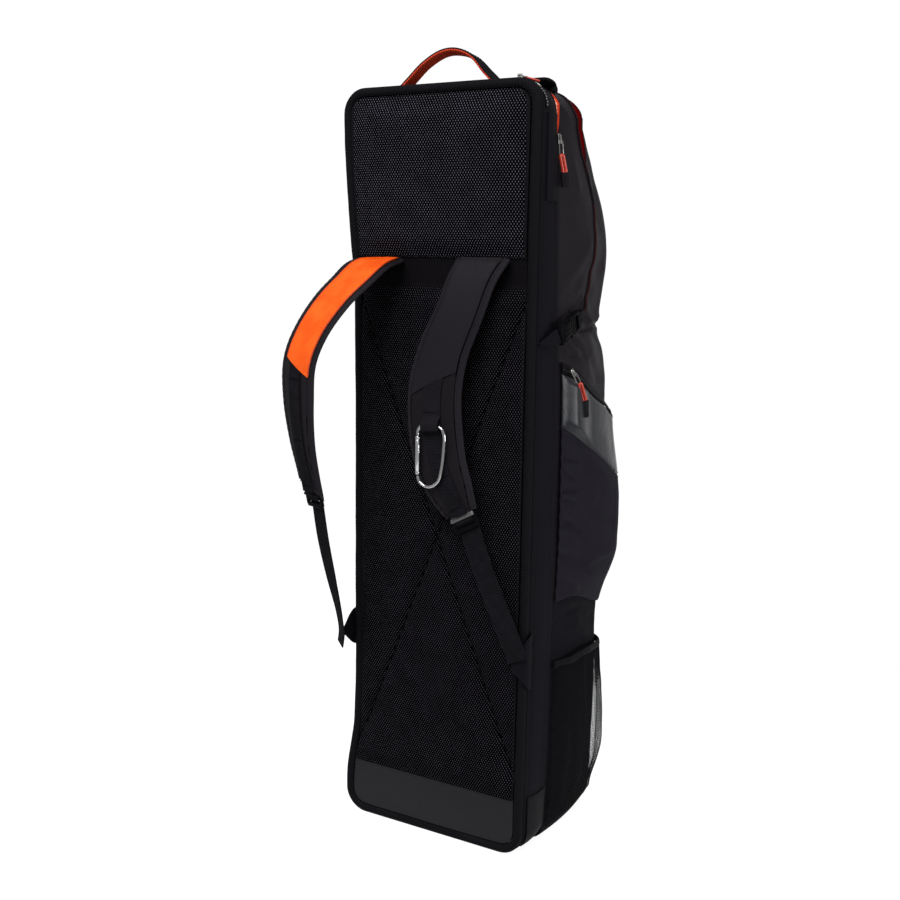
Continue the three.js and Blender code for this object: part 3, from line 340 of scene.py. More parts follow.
def spline(knots, shares):
    """Points of a centripetal Catmull-Rom curve through the knots."""
    knots = np.asarray(knots, float)
    padded = np.vstack([2 * knots[0] - knots[1], knots, 2 * knots[-1] - knots[-2]])
    p = np.clip(np.asarray(shares, float), 0, 1) * (len(knots) - 1)
    i = np.minimum(p.astype(int), len(knots) - 2)
    w = (p - i)[..., None]
    a, b, c, d = (padded[i + k] for k in range(4))
    da, db, dc = (np.sqrt(np.linalg.norm(q - p, axis=-1))[..., None] for p, q in ((a, b), (b, c), (c, d)))
    leave = ((b - a) / da - (c - a) / (da + db) + (c - b) / db) * db
    arrive = ((c - b) / db - (d - b) / (db + dc) + (d - c) / dc) * db
    rise = lerp(b, c, w * w * (3 - 2 * w))
    return rise + w * (1 - w) ** 2 * leave + w * w * (w - 1) * arrive


class Strap:
    """Frames along a strap's table: centre, direction along, across and out of its outer face."""

    def __init__(self, rows, sideways=None):
        self.knots = place(*(np.array([row[key] for row in rows], float) for key in ("x", "depth", "z")))
        numbered = [{**STRAP_DEFAULTS, **row, "share": i / (len(rows) - 1)} for i, row in enumerate(rows)]
        self.width, self.turn, self.square, self.roll = (
            column(numbered, "share", key) for key in ("width", "turn", "square", "roll")
        )
        self.sideways = sideways

    def frames(self, shares):
        shares = np.asarray(shares, float)
        step = 1e-4
        along = unit(spline(self.knots, shares + step) - spline(self.knots, shares - step))
        angle = np.radians(self.turn(shares))
        across = np.stack([np.cos(angle), np.sin(angle), 0 * angle], axis=-1)
        if self.sideways is not None:
            across = np.broadcast_to(np.asarray(self.sideways, float), along.shape)
        lean = np.sum(across * along, axis=-1, keepdims=True) * self.square(shares)[..., None]
        across = unit(across - along * lean)
        out = unit(np.cross(along, across))
        roll = np.radians(self.roll(shares))[..., None]
        rolled = across * np.cos(roll) + out * np.sin(roll)
        return spline(self.knots, shares), along, rolled, out * np.cos(roll) - across * np.sin(roll)

    def points(self, shares, across, out):
        """Points at these distances across and out of the strap, one for each share."""
        centre, _, side, up = self.frames(shares)
        return centre + side * np.asarray(across)[..., None] + up * np.asarray(out)[..., None]

    def half(self, shares):
        return self.width(np.asarray(shares, float)) / 2


def wobble(points, size, seed=0.0):
    """Slow noise from -1 to 1 over points, with humps of about this size."""
    flat = np.asarray(points, float).reshape(-1, 3)
    values = [noise.noise(Vector(p / size) + Vector((seed, 2 * seed, 3 * seed))) for p in flat]
    return np.array(values).reshape(np.asarray(points).shape[:-1])


# Shape of the main compartment.

def mouth_at(z):
    return MOUTH_WIDTH * smooth(z, MOUTH_LOW, MOUTH_WIDE)


def wall_point(share, z):
    """A point of the wall: share runs from the seam to the middle of the front, on the +X half."""
    inset = round_inset(BASE_ROUND, z)
    half = body_half(z) - inset
    front = body_front(z) - inset
    rear = seam_depth(z) + GAP + mouth_at(z)
    corner = FRONT_ROUND - inset
    s = np.clip(share / SIDE_SHARE, 0, 1)
    side = place(half + SIDE_BULGE * np.sin(np.pi * s), lerp(rear, front - corner, s), z)
    angle = np.clip((share - SIDE_SHARE) / (CORNER_SHARE - SIDE_SHARE), 0, 1) * np.pi / 2
    turn = place(half - corner + corner * np.cos(angle), front - corner + corner * np.sin(angle), z)
    s = np.clip((share - CORNER_SHARE) / (1 - CORNER_SHARE), 0, 1)
    face = place((half - corner) * (1 - s), front + FRONT_BULGE * np.sin(np.pi / 2 * s), z)
    on_side = (share <= SIDE_SHARE)[..., None]
    on_corner = (share <= CORNER_SHARE)[..., None]
    return np.where(on_side, side, np.where(on_corner, turn, face))


def fold_lift(depth, z):
    total = 0
    for fold in FOLDS:
        far = ((z - fold["z"]) / fold["tall"]) ** 2 + ((depth - fold["depth"]) / fold["deep"]) ** 2
        total = total + fold["lift"] * np.exp(-far)
    return total


def top_height(x, depth):
    """Height of the top over a place in plan."""
    half = body_half(TOP_CUT)
    lip = seam_depth(TOP_CUT) + GAP + MOUTH_WIDTH
    outward = np.clip((np.abs(x) - half + FRONT_ROUND) / FRONT_ROUND, 0, 1)
    reach = body_front(TOP_CUT) + FRONT_BULGE - FRONT_ROUND * (1 - np.sqrt(1 - outward**2))
    a = np.clip(np.abs(x) / (half + SIDE_BULGE), 0, 1)
    b = np.clip((depth - lip) / (reach - lip), 0, 1)
    return lerp(TOP_CUT, MAIN_TOP, np.sqrt(1 - a**8) * np.sqrt(1 - b**2.4))


def hull_point(share, v):
    share, v = np.broadcast_arrays(np.asarray(share, float), np.asarray(v, float))
    base = BASE_ROUND * (1 - np.cos(np.clip(v / BASE_V, 0, 1) * np.pi / 2))
    z = np.where(v < BASE_V, base, lerp(BASE_ROUND, TOP_CUT, np.clip((v - BASE_V) / (WALL_V - BASE_V), 0, 1)))
    wall = wall_point(share, z)
    fold = fold_lift(wall[..., 1] - BACK_Y, z) * np.sin(np.pi * np.clip(share / SIDE_SHARE, 0, 1))
    over = v > WALL_V
    wall[..., 0] += np.where(over, 0, fold)
    moved = 1 - np.cos(np.clip((v - WALL_V) / (1 - WALL_V), 0, 1) * np.pi / 2)
    x = lerp(wall[..., 0], (body_half(TOP_CUT) - LIP_CORNER) * (1 - share), moved)
    depth = lerp(wall[..., 1] - BACK_Y, seam_depth(TOP_CUT) + GAP + MOUTH_WIDTH, moved)
    return np.where(over[..., None], place(x, depth, top_height(x, depth)), wall)


def hull_normal(share, v):
    step = 0.004
    across = hull_point(np.minimum(share + step, 1), v) - hull_point(np.maximum(share - step, 0), v)
    rise = hull_point(share, np.minimum(v + step, WALL_V)) - hull_point(share, np.maximum(v - step, 0))
    wall = unit(np.cross(across, rise))
    point = hull_point(share, v)
    x, depth = point[..., 0], point[..., 1] - BACK_Y
    reach = 0.5
    along_x = top_height(x + reach, depth) - top_height(x - reach, depth)
    along_y = top_height(x, depth + reach) - top_height(x, depth - reach)
    top = unit(np.stack([-along_x, -along_y, 0 * along_x + 2 * reach], axis=-1))
    return np.where((np.asarray(v) > WALL_V)[..., None], top, wall)


def skin(share, v, lift=0.0):
    """The hull moved out along its normal. A share past 1 goes on round the -X half."""
    share, v, lift = np.broadcast_arrays(*(np.asarray(value, float) for value in (share, v, lift)))
    near = np.where(share > 1, 2 - share, share)
    point = hull_point(near, v) + hull_normal(near, v) * lift[..., None]
    point[..., 0] *= np.where(share > 1, -1, 1)
    return point


def skin_out(share, v):
    """Direction out of the hull."""
    return unit(skin(share, v, 1) - skin(share, v))


def height_share(z):
    return lerp(BASE_V, WALL_V, (z - BASE_ROUND) / (TOP_CUT - BASE_ROUND))


def share_at_depth(depth, z):
    """Share of the half plan at a depth on the side, at a height."""
    rear = seam_depth(z) + GAP + mouth_at(z)
    start = body_front(z) - FRONT_ROUND
    angle = np.arcsin(np.clip((depth - start) / FRONT_ROUND, 0, 1))
    corner = lerp(SIDE_SHARE, CORNER_SHARE, angle / (np.pi / 2))
    return np.where(depth <= start, SIDE_SHARE * (depth - rear) / (start - rear), corner)


def crease_lift(creases, points):
    """Height of the creases at points, in the side's own plane."""
    depth = points[..., 1] - BACK_Y
    z = points[..., 2]
    total = np.zeros(depth.shape)
    for row in creases:
        run = np.array([row["depth_b"] - row["depth_a"], row["z_b"] - row["z_a"]], float)
        length = np.hypot(*run)
        run /= length
        t = ((depth - row["depth_a"]) * run[0] + (z - row["z_a"]) * run[1]) / length
        off = (z - row["z_a"]) * run[0] - (depth - row["depth_a"]) * run[1]
        bent = off + row["width"] * np.sin(3 * t + row["z_a"]) * 0.8
        total += row["lift"] * window(t, -0.15, 0.25, 0.7, 1.15) * dent(bent, row["width"])
    return total


# Meshes.

class Form:
    """Points and faces of one piece, with the place on the cloth of each point in metres."""

    def __init__(self):
        self.points, self.faces, self.uvs, self.slots = [], [], [], []

    def add(self, points, faces, uvs=None, slot=0):
        points = np.asarray(points, float).reshape(-1, 3)
        offset = len(self.points)
        self.points.extend(points.tolist())
        self.faces.extend(tuple(int(i) + offset for i in face) for face in faces)
        self.slots.extend([slot] * len(faces))
        flat = np.zeros((len(points), 2)) if uvs is None else np.asarray(uvs, float).reshape(-1, 2)
        self.uvs.extend(flat.tolist())
        return self

    def piece(self, name, materials, nodes=(), slot=None, body="bag", sharp=38):
        mesh = bpy.data.meshes.new(name)
        mesh.from_pydata((np.array(self.points) * MM).tolist(), [], self.faces)
        layer = mesh.uv_layers.new(name="UVMap")
        loops = np.empty(len(mesh.loops), int)
        mesh.loops.foreach_get("vertex_index", loops)
        layer.data.foreach_set("uv", np.array(self.uvs)[loops].ravel())
        for material in materials if isinstance(materials, list) else [materials]:
            mesh.materials.append(material)
        mesh.polygons.foreach_set("material_index", self.slots)
        mesh.shade_smooth()
        mesh.set_sharp_from_angle(angle=math.radians(sharp))
        mesh.update()
        made = bpy.data.objects.new(name, mesh)
        bpy.context.scene.collection.objects.link(made)
        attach(made, body)
        if nodes:
            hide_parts(*([nodes] if isinstance(nodes, str) else nodes))
        return made


def grid_faces(rows, cols, closed_rows=False, closed_cols=False):
    faces = []
    for r in range(rows if closed_rows else rows - 1):
        for c in range(cols if closed_cols else cols - 1):
            d, e = (r + 1) % rows, (c + 1) % cols
            faces.append((r * cols + c, r * cols + e, d * cols + e, d * cols + c))
    return faces


def grid_uv(points):
    """Distance over a grid of points from its first column and first row, in metres."""
    u = np.zeros(points.shape[:2])
    v = np.zeros(points.shape[:2])
    u[:, 1:] = np.cumsum(np.linalg.norm(np.diff(points, axis=1), axis=-1), axis=1)
    v[1:] = np.cumsum(np.linalg.norm(np.diff(points, axis=0), axis=-1), axis=0)
    u -= u.mean(axis=1, keepdims=True)
    return np.stack([u, v], axis=-1) * MM


def grid_normals(points):
    across = np.gradient(points, axis=1)
    along = np.gradient(points, axis=0)
    return unit(np.cross(across, along))


def volume_of(points, faces):
    total = 0.0
    for size in {len(face) for face in faces}:
        ring = points[np.array([face for face in faces if len(face) == size])]
        for k in range(1, size - 1):
            total += np.sum(ring[:, 0] * np.cross(ring[:, k], ring[:, k + 1]))
    return total


def solid(points, faces, uv, form=None, slot=0):
    """Adds a closed solid to a form, or to a new one, with its faces turned outwards."""
    points = points.reshape(-1, 3)
    if volume_of(points, faces) < 0:
        faces = [face[::-1] for face in faces]
    return (form or Form()).add(points, faces, uv, slot)


def wall(outer, inner, slot=0, form=None, uv=None):
    """A closed solid between an outer and an inner grid of points of one size."""
    rows, cols = outer.shape[:2]
    count = rows * cols
    faces = grid_faces(rows, cols)
    faces += [tuple(count + i for i in reversed(face)) for face in faces]
    edge = [(0, c) for c in range(cols)] + [(r, cols - 1) for r in range(1, rows)]
    edge += [(rows - 1, c) for c in range(cols - 2, -1, -1)] + [(r, 0) for r in range(rows - 2, 0, -1)]
    ring = [r * cols + c for r, c in edge]
    for a, b in zip(ring, ring[1:] + ring[:1]):
        faces.append((b, a, count + a, count + b))
    uv = grid_uv(outer) if uv is None else uv
    return solid(np.stack([outer, inner]), faces, np.stack([uv, uv]), form, slot)


def loft(rings, uv, form=None, slot=0, closed=False):
    """A solid through a row of rings of points, with a cap on each end unless the row is closed."""
    rows, count = rings.shape[:2]
    faces = grid_faces(rows, count, closed_rows=closed, closed_cols=True)
    if not closed:
        faces.append(tuple(range(count - 1, -1, -1)))
        faces.append(tuple(range((rows - 1) * count, rows * count)))
    return solid(rings, faces, uv, form, slot)


EDGE_ROLL = 0.6


def cloth_wall(outer):
    """A wall of cloth from its outer face, with its edges turned in towards the bag's middle."""
    normals = grid_normals(outer)
    middle = outer.reshape(-1, 3).mean(axis=0)
    centre_normal = normals[outer.shape[0] // 2, outer.shape[1] // 2]
    inward = np.array([0, middle[1], HEIGHT / 2]) - middle
    normals = normals * (-1 if np.dot(centre_normal, inward) > 0 else 1)
    rolled = outer.copy()
    for index in ((0, slice(None)), (-1, slice(None)), (slice(None), 0), (slice(None), -1)):
        rolled[index] -= normals[index] * EDGE_ROLL
    return wall(rolled, outer - normals * CLOTH)


def path_frames(path, closed):
    """Directions across and up along a path, turned as little as possible."""
    if closed:
        along = unit(np.roll(path, -1, axis=0) - np.roll(path, 1, axis=0))
    else:
        along = unit(np.gradient(path, axis=0))
    up = np.zeros_like(path)
    start = np.array([0, 0, 1.0]) if abs(along[0][2]) < 0.9 else np.array([0, 1.0, 0])
    up[0] = unit(start - along[0] * np.dot(start, along[0]))
    for i in range(1, len(path)):
        up[i] = unit(up[i - 1] - along[i] * np.dot(up[i - 1], along[i]))
    return np.cross(along, up), up


def tube(path, radius, sides=10, closed=False, form=None, slot=0):
    """A round tube along a path."""
    across, up = path_frames(path, closed)
    turn = np.linspace(0, 2 * np.pi, sides, endpoint=False)
    radius = np.broadcast_to(np.asarray(radius, float), (len(path),))[:, None, None]
    ring = across[:, None] * np.cos(turn)[None, :, None] + up[:, None] * np.sin(turn)[None, :, None]
    around = turn[None, :] * radius[:, :, 0]
    uv = np.stack(np.broadcast_arrays(around, travelled(path)[:, None]), axis=-1) * MM
    return loft(path[:, None] + ring * radius, uv, form, slot, closed)


def block(size, bevel, centre, across, along, form=None, slot=0, segments=2, taper=1.0):
    """A box with rounded edges, stood on a frame. taper narrows its far end."""
    mesh = bmesh.new()
    bmesh.ops.create_cube(mesh, size=1)
    for vert in mesh.verts:
        narrow = taper if vert.co.y > 0 else 1
        vert.co = Vector((vert.co.x * size[0] * narrow, vert.co.y * size[1], vert.co.z * size[2]))
    bmesh.ops.bevel(mesh, geom=mesh.edges[:], offset=bevel, segments=segments, affect="EDGES", profile=0.5)
    across, along = unit(across), unit(along)
    basis = np.stack([across, along, np.cross(across, along)])
    mesh.verts.index_update()
    points = np.array([vert.co[:] for vert in mesh.verts]) @ basis + centre
    faces = [tuple(vert.index for vert in face.verts) for face in mesh.faces]
    uv = np.array([vert.co[:2] for vert in mesh.verts]) * MM
    mesh.free()
    return (form or Form()).add(points, faces, uv, slot)


def blocks(rows, origin, across, along, out, segments=2, highlight_slot=0):
    """Rounded blocks from a table, stood on a frame. Those with a tilt lean out and take the highlight slot,
    for plastic with a painted highlight.
    """
    form = Form()
    for row in rows:
        tilt = row.get("tilt", 0)
        centre = origin + across * row["side"] + along * row["run"] + out * row["lift"]
        lean = along * math.cos(tilt) + out * math.sin(tilt)
        size = (row["wide"], row["long"], row["thick"])
        block(size, row["bevel"], centre, across, lean, form, highlight_slot if tilt else 0, segments)
    return form


def ribbon(strap, shares, half, low, high, columns=12, crown=0.0, slant=(0, 0), shift=0.0, form=None, slot=0):
    """A band on a strap's frames, between two heights over its centre line."""
    grids = []
    for lift in (high, low):
        strips = []
        for side in steps(-1, 1, columns):
            start, end = shares[0] + slant[0] * side, shares[-1] + slant[1] * side
            at = lerp(start, end, (shares - shares[0]) / (shares[-1] - shares[0]))
            width = half(at) if callable(half) else np.full(at.shape, float(half))
            bump = crown * (1 - abs(side) ** 4) if lift is high else 0
            lifts = np.broadcast_to(np.asarray(lift, float), at.shape)
            strips.append(strap.points(at, side * width + shift, lifts + bump))
        grids.append(np.stack(strips, axis=1))
    return wall(*grids, slot, form)


STITCH_LENGTH = 3.2
STITCH_PITCH = 4.6
STITCH_RADIUS = 0.42
STITCH_FACES = [(0, 3, 2), (0, 2, 4), (1, 2, 3), (1, 4, 2), (0, 5, 3), (0, 4, 5), (1, 3, 5), (1, 5, 4)]


def stitch_run(form, path, normals, pitch=STITCH_PITCH, length=STITCH_LENGTH, radius=STITCH_RADIUS):
    """A row of stitches along a path: long lozenges that dip into the cloth at both ends."""
    distance = travelled(path)
    marks = np.arange(pitch / 2, distance[-1] - pitch / 2, pitch)
    normals = np.broadcast_to(np.asarray(normals, float), path.shape)
    out = unit(sample(normals, distance, marks)) * radius
    start = sample(path, distance, marks - length / 2)
    end = sample(path, distance, marks + length / 2)
    middle = (start + end) / 2
    side = unit(np.cross(end - start, out)) * radius
    ends = [start - out * 0.6, end - out * 0.6]
    for lozenge in np.stack(ends + [middle + out, middle + side, middle - side, middle - out], axis=1):
        form.add(lozenge, STITCH_FACES)


# Materials.

class Shader:
    """One material's node tree, with short ways to add nodes."""

    def __init__(self, name, color, roughness, **values):
        self.material = bpy.data.materials.new(name)
        self.material.use_nodes = True
        self.tree = self.material.node_tree
        self.bsdf = self.tree.nodes["Principled BSDF"]
        self.material.diffuse_color = (*color, 1)
        self.bsdf.inputs["Base Color"].default_value = (*color, 1)
        self.bsdf.inputs["Roughness"].default_value = roughness
        for key, value in values.items():
            self.bsdf.inputs[key.replace("_", " ").title().replace("Ior", "IOR")].default_value = value

    def put(self, socket, value):
        if isinstance(value, bpy.types.NodeSocket):
            self.tree.links.new(value, socket)
        else:
            socket.default_value = value

    def node(self, kind, **inputs):
        made = self.tree.nodes.new("ShaderNode" + kind)
        for key, value in inputs.items():
            self.put(made.inputs[key], value)
        return made

    def math(self, operation, *values):
        made = self.node("Math")
        made.operation = operation
        for socket, value in zip(made.inputs, values):
            self.put(socket, value)
        return made.outputs[0]

    def on_cloth(self):
        """The place on the cloth in millimetres, across and along it."""
        place_on = self.node("UVMap")
        place_on.uv_map = "UVMap"
        split = self.node("SeparateXYZ", Vector=place_on.outputs[0])
        return [self.math("MULTIPLY", split.outputs[k], 1 / MM) for k in range(2)]

    def ripple(self, coordinate, period):
        return self.math("SINE", self.math("MULTIPLY_ADD", coordinate, 2 * math.pi / period, 0.0))

    def speckle(self, size, detail=3.0):
        """Noise with grains of about this many millimetres, from 0 to 1."""
        spot = self.node("TexCoord")
        grain = self.node("TexNoise", Vector=spot.outputs["Object"], Scale=1 / (size * MM), Detail=detail)
        return grain.outputs[0]

    def between(self, factor, low, high):
        """A factor stretched so that low becomes 0 and high becomes 1."""
        ranged = self.node("MapRange", **{"Value": factor, "From Min": low, "From Max": high})
        ranged.interpolation_type = "SMOOTHSTEP"
        return ranged.outputs[0]

    def colours(self, factor, first, second):
        mix = self.node("Mix")
        mix.data_type = "RGBA"
        for number, value in ((0, factor), (6, (*first, 1)), (7, (*second, 1))):
            self.put(mix.inputs[number], value)
        self.tree.links.new(mix.outputs[2], self.bsdf.inputs["Base Color"])

    def rough(self, factor, low, high):
        ranged = self.node("MapRange", **{"Value": factor, "To Min": low, "To Max": high})
        self.tree.links.new(ranged.outputs[0], self.bsdf.inputs["Roughness"])

    def bumps(self, *layers):
        """Bumps one over the other, each with its height, its distance in millimetres and its strength."""
        for height, distance, strength in layers:
            made = self.node("Bump", Height=height, Distance=distance * MM, Strength=strength)
            for link in self.bsdf.inputs["Normal"].links:
                self.tree.links.new(link.from_socket, made.inputs["Normal"])
            self.tree.links.new(made.outputs[0], self.bsdf.inputs["Normal"])

    def weave(self, across, along):
        """Threads that cross, with these distances between them."""
        u, v = self.on_cloth()
        return self.math("MULTIPLY", self.ripple(u, across), self.ripple(v, along))


def satin_cloth(name, dark, light, specular, thread=1.1):
    """Plain woven polyester with a soft shine and slight unevenness."""
    shader = Shader(name, dark, 0.5, specular_ior_level=specular, sheen_weight=0.004, sheen_roughness=0.4)
    weave = shader.weave(thread, thread * 0.9)
    patches = shader.speckle(38)
    shader.colours(shader.math("MULTIPLY_ADD", weave, 0.16, patches), dark, light)
    shader.rough(patches, 0.43, 0.6)
    shader.bumps((shader.speckle(14), 0.9, 0.35), (shader.speckle(2.2, 2.0), 0.25, 0.25), (weave, 0.12, 0.5))
    return shader.material


def air_mesh(name, hole, thread, pitch, row, opened):
    """Spacer mesh: staggered dark holes between round threads."""
    shader = Shader(name, thread, 0.7, specular_ior_level=0.006)
    holes = shader.between(shader.weave(pitch, row), *opened)
    patches = shader.between(shader.speckle(24), 0.25, 0.75)
    worn = shader.math("MULTIPLY_ADD", patches, 0.3, 0.7)
    lit = shader.math("MULTIPLY", shader.math("SUBTRACT", 1.0, holes), worn)
    shader.colours(lit, hole, thread)
    shader.bumps((shader.speckle(9), 0.5, 0.2), (holes, -0.9, 0.8))
    return shader.material


def webbing(name, dark, light, specular):
    """Ribbed strap: ribs across, with threads along them."""
    shader = Shader(name, dark, 0.7, specular_ior_level=specular)
    u, v = shader.on_cloth()
    ribs = shader.math("ABSOLUTE", shader.ripple(v, 3.8))
    height = shader.math("MULTIPLY_ADD", shader.ripple(u, 1.3), 0.2, ribs)
    shader.colours(shader.math("MULTIPLY", ribs, shader.speckle(12)), dark, light)
    shader.bumps((height, 0.3, 0.7))
    return shader.material


def twill_tape(name, dark, light, roughness=0.6, specular=0.25):
    """Binding tape with slanting lines."""
    shader = Shader(name, dark, roughness, specular_ior_level=specular)
    u, v = shader.on_cloth()
    twill = shader.ripple(shader.math("ADD", u, v), 1.5)
    patches = shader.speckle(22)
    shader.colours(shader.math("MULTIPLY_ADD", twill, 0.2, patches), dark, light)
    shader.rough(patches, roughness - 0.08, roughness + 0.1)
    shader.bumps((shader.speckle(7), 0.5, 0.3), (twill, 0.15, 0.5))
    return shader.material


def coated_cloth(name, dark, light, roughness, specular):
    """Cloth under a smooth plastic coat, with a fine pebble and faint waves."""
    shader = Shader(name, dark, roughness, specular_ior_level=specular)
    patches = shader.speckle(45)
    pebble = shader.speckle(1.6, 2.0)
    shader.colours(patches, dark, light)
    shader.rough(shader.math("MULTIPLY_ADD", pebble, 0.4, patches), roughness - 0.08, roughness + 0.12)
    shader.bumps((shader.speckle(24), 1.6, 0.4), (pebble, 0.16, 0.5), (shader.weave(2.4, 2.4), 0.05, 0.4))
    return shader.material


def bright_cloth(name, dark, light):
    """Dyed cloth with small diamonds in its weave."""
    shader = Shader(name, light, 0.55, specular_ior_level=0.03)
    u, v = shader.on_cloth()
    slant = shader.ripple(shader.math("ADD", u, v), 3.0)
    other = shader.ripple(shader.math("SUBTRACT", u, v), 3.0)
    diamonds = shader.math("MULTIPLY", slant, other)
    patches = shader.speckle(26)
    shader.colours(shader.math("MULTIPLY_ADD", diamonds, 0.5, shader.between(patches, 0.2, 0.8)), dark, light)
    shader.bumps((shader.speckle(16), 1.0, 0.35), (diamonds, 0.18, 0.6))
    return shader.material


def moulded(name, color, roughness, specular):
    """Moulded plastic or rubber with a faint grain and lighter patches at random."""
    shader = Shader(name, color, roughness, specular_ior_level=specular)
    patches = shader.speckle(10)
    shader.colours(patches, color, tuple(min(1, value * 1.7) for value in color))
    shader.rough(patches, roughness - 0.08, roughness + 0.12)
    shader.bumps((shader.speckle(0.8, 2.0), 0.05, 0.4))
    return shader.material


def bright_metal(name, color, roughness):
    """Plated steel with faint drawing marks."""
    shader = Shader(name, color, roughness, metallic=1.0)
    patches = shader.speckle(5)
    shader.colours(patches, tuple(value * 0.82 for value in color), color)
    shader.rough(shader.speckle(1.2), roughness - 0.06, roughness + 0.12)
    shader.bumps((shader.speckle(0.6), 0.02, 0.3))
    return shader.material


BLACK = satin_cloth("black_satin", (0.0062, 0.0045, 0.0068), (0.0085, 0.0062, 0.0092), 0.05)
# A darker, bluer copy of the side's satin: painted shade on the gusset, its top, the zip guard, the seam tabs
# and the mouth's welt.
GUSSET_SHADE_CLOTH = satin_cloth("gusset_satin_painted_shade", (0.0046, 0.0041, 0.0058), (0.0063, 0.0056, 0.0077), 0.015)
# The yoke's satin is about half as light as the other black cloth: painted shadow under the upper pad.
YOKE_SHADOW_CLOTH = satin_cloth("yoke_satin_painted_shadow", (0.003, 0.0025, 0.0033), (0.0042, 0.0035, 0.0045), 0.02, 1.3)
# A dull black cloth for webbing, zip edges and the lining's rim; the right side panel also takes it below the
# pocket as painted shade.
DULL_CLOTH_AND_SHADE = satin_cloth("dull_cloth_and_painted_shade", (0.0056, 0.0051, 0.0068), (0.0077, 0.007, 0.0092), 0.003)
PAD_CLOTH = satin_cloth("pad_satin", (0.0074, 0.006, 0.0078), (0.0098, 0.008, 0.0102), 0.04, 1.3)
POCKET_CLOTH = satin_cloth("pocket_satin", (0.0099, 0.0089, 0.0126), (0.013, 0.0117, 0.0163), 0.006)
STRAP_CLOTH = satin_cloth("strap_satin", (0.0096, 0.0082, 0.0106), (0.0124, 0.0107, 0.0136), 0.04, 1.3)
MESH_HOLE = (0.0002, 0.0002, 0.0003)
AIR_MESH = air_mesh("air_mesh", MESH_HOLE, (0.088, 0.083, 0.106), 3.85, 5.8, (-0.85, -0.2))
# A darker copy of the air mesh with a slightly finer pattern: painted shade on the lower pad and on the
# straps' undersides.
SHADED_MESH = air_mesh("air_mesh_painted_shade", MESH_HOLE, (0.05, 0.046, 0.058), 3.5, 5.7, (-0.88, -0.22))
RIB = webbing("black_webbing", (0.004, 0.0037, 0.0046), (0.015, 0.014, 0.0175), 0.004)
STRAP_RIB = webbing("strap_webbing", (0.0056, 0.005, 0.0064), (0.0145, 0.013, 0.016), 0.02)
BINDING = twill_tape("black_binding", (0.0041, 0.0038, 0.0049), (0.0055, 0.005, 0.0066), specular=0.02)
COATED = coated_cloth("dark_coated", (0.0072, 0.007, 0.0087), (0.0098, 0.0095, 0.0118), 0.36, 0.12)
DULL_COATED = coated_cloth("dull_coated", (0.0062, 0.006, 0.007), (0.0085, 0.0083, 0.0094), 0.5, 0.02)
GREY = coated_cloth("grey_coated", (0.0102, 0.0109, 0.0139), (0.0132, 0.014, 0.0177), 0.22, 0.17)
ORANGE = bright_cloth("orange_cloth", (0.56, 0.06, 0.005), (0.8, 0.106, 0.011))
ORANGE_MESH = air_mesh("orange_mesh", (0.25, 0.018, 0.009), (0.5, 0.056, 0.022), 2.6, 3.4, (0.0, 0.6))
ORANGE_TAPE = twill_tape("orange_tape", (0.28, 0.02, 0.006), (0.52, 0.044, 0.012), specular=0.05)
ORANGE_EDGE = twill_tape("orange_edge", (0.36, 0.03, 0.004), (0.5, 0.05, 0.006))
# Red lining made near maroon: its own red, darkened by painted shade inside the pocket's opening.
RED_LINING_SHADE = twill_tape("red_lining_painted_shade", (0.054, 0.0008, 0.0008), (0.1, 0.0016, 0.0014), specular=0.0)
RED_EDGE = twill_tape("red_edge", (0.04, 0.005, 0.004), (0.075, 0.009, 0.006), specular=0.03)
PLASTIC = moulded("black_plastic", (0.0022, 0.002, 0.0025), 0.36, 0.012)
# Plastic about twenty times lighter than the black plastic: a painted highlight on the right ladder lock's
# top bar.
HIGHLIGHT_PLASTIC = moulded("plastic_painted_highlight", (0.045, 0.044, 0.045), 0.3, 0.6)
GRIP = moulded("dark_grip", (0.0036, 0.003, 0.004), 0.55, 0.05)
CORD_ORANGE = moulded("orange_cord", (0.27, 0.016, 0.005), 0.3, 0.45)
COIL_BLACK = moulded("black_coil", (0.004, 0.004, 0.0043), 0.45, 0.2)
# The coil is orange, made pale pink by a painted highlight along it.
COIL_PAINTED_HIGHLIGHT = moulded("coil_painted_highlight", (0.78, 0.33, 0.23), 0.4, 0.3)
STEEL = bright_metal("steel", (0.6, 0.605, 0.62), 0.14)
# The wire's steel is darker than the gate's: painted reflection of the black strap behind it.
STEEL_DARK_REFLECTION = bright_metal("steel_painted_dark_reflection", (0.42, 0.42, 0.43), 0.07)
NICKEL = bright_metal("nickel", (0.24, 0.235, 0.225), 0.2)
SILVER_TEETH = bright_metal("silver_teeth", (0.22, 0.215, 0.21), 0.4)
THREAD = twill_tape("thread", (0.006, 0.006, 0.0066), (0.012, 0.012, 0.013), roughness=0.5, specular=0.08)
# Near-black thread for the quilting and bartacks, also laid over the strap seams' groove faces as painted
# shade.
DARK_THREAD_AND_SHADE = twill_tape("dark_thread_and_painted_shade", (0.0005, 0.0005, 0.0005), (0.001, 0.001, 0.001), specular=0.02)
NET = moulded("net_strand", (0.0039, 0.0037, 0.0046), 0.5, 0.03)

stitches = Form()
seam_threads = Form()


# Back panel.

def pad_half(z):
    corner = RIM_CORNER - PAD_INSET
    reach = np.minimum(z - PAD_INSET, HEIGHT - PAD_INSET - z)
    return back_half(z) - PAD_INSET - round_inset(corner, reach)


def back_grid(heights, columns, lift):
    z, a = np.meshgrid(heights, columns, indexing="ij")
    return place(a * pad_half(z), BOARD_BACK + back_recess(z) - lift(a, z), z)


def back_sheet(heights, count, lift, mesh=False):
    """A sheet on the back panel's board. Mesh has its rows level, whatever its padding does."""
    columns = steps(-1, 1, count)
    outer = back_grid(heights, columns, lift)
    board = back_grid(heights, columns, lambda a, z: GAP + 0 * z)
    return wall(outer, board, uv=outer[..., (0, 2)] * MM if mesh else None)


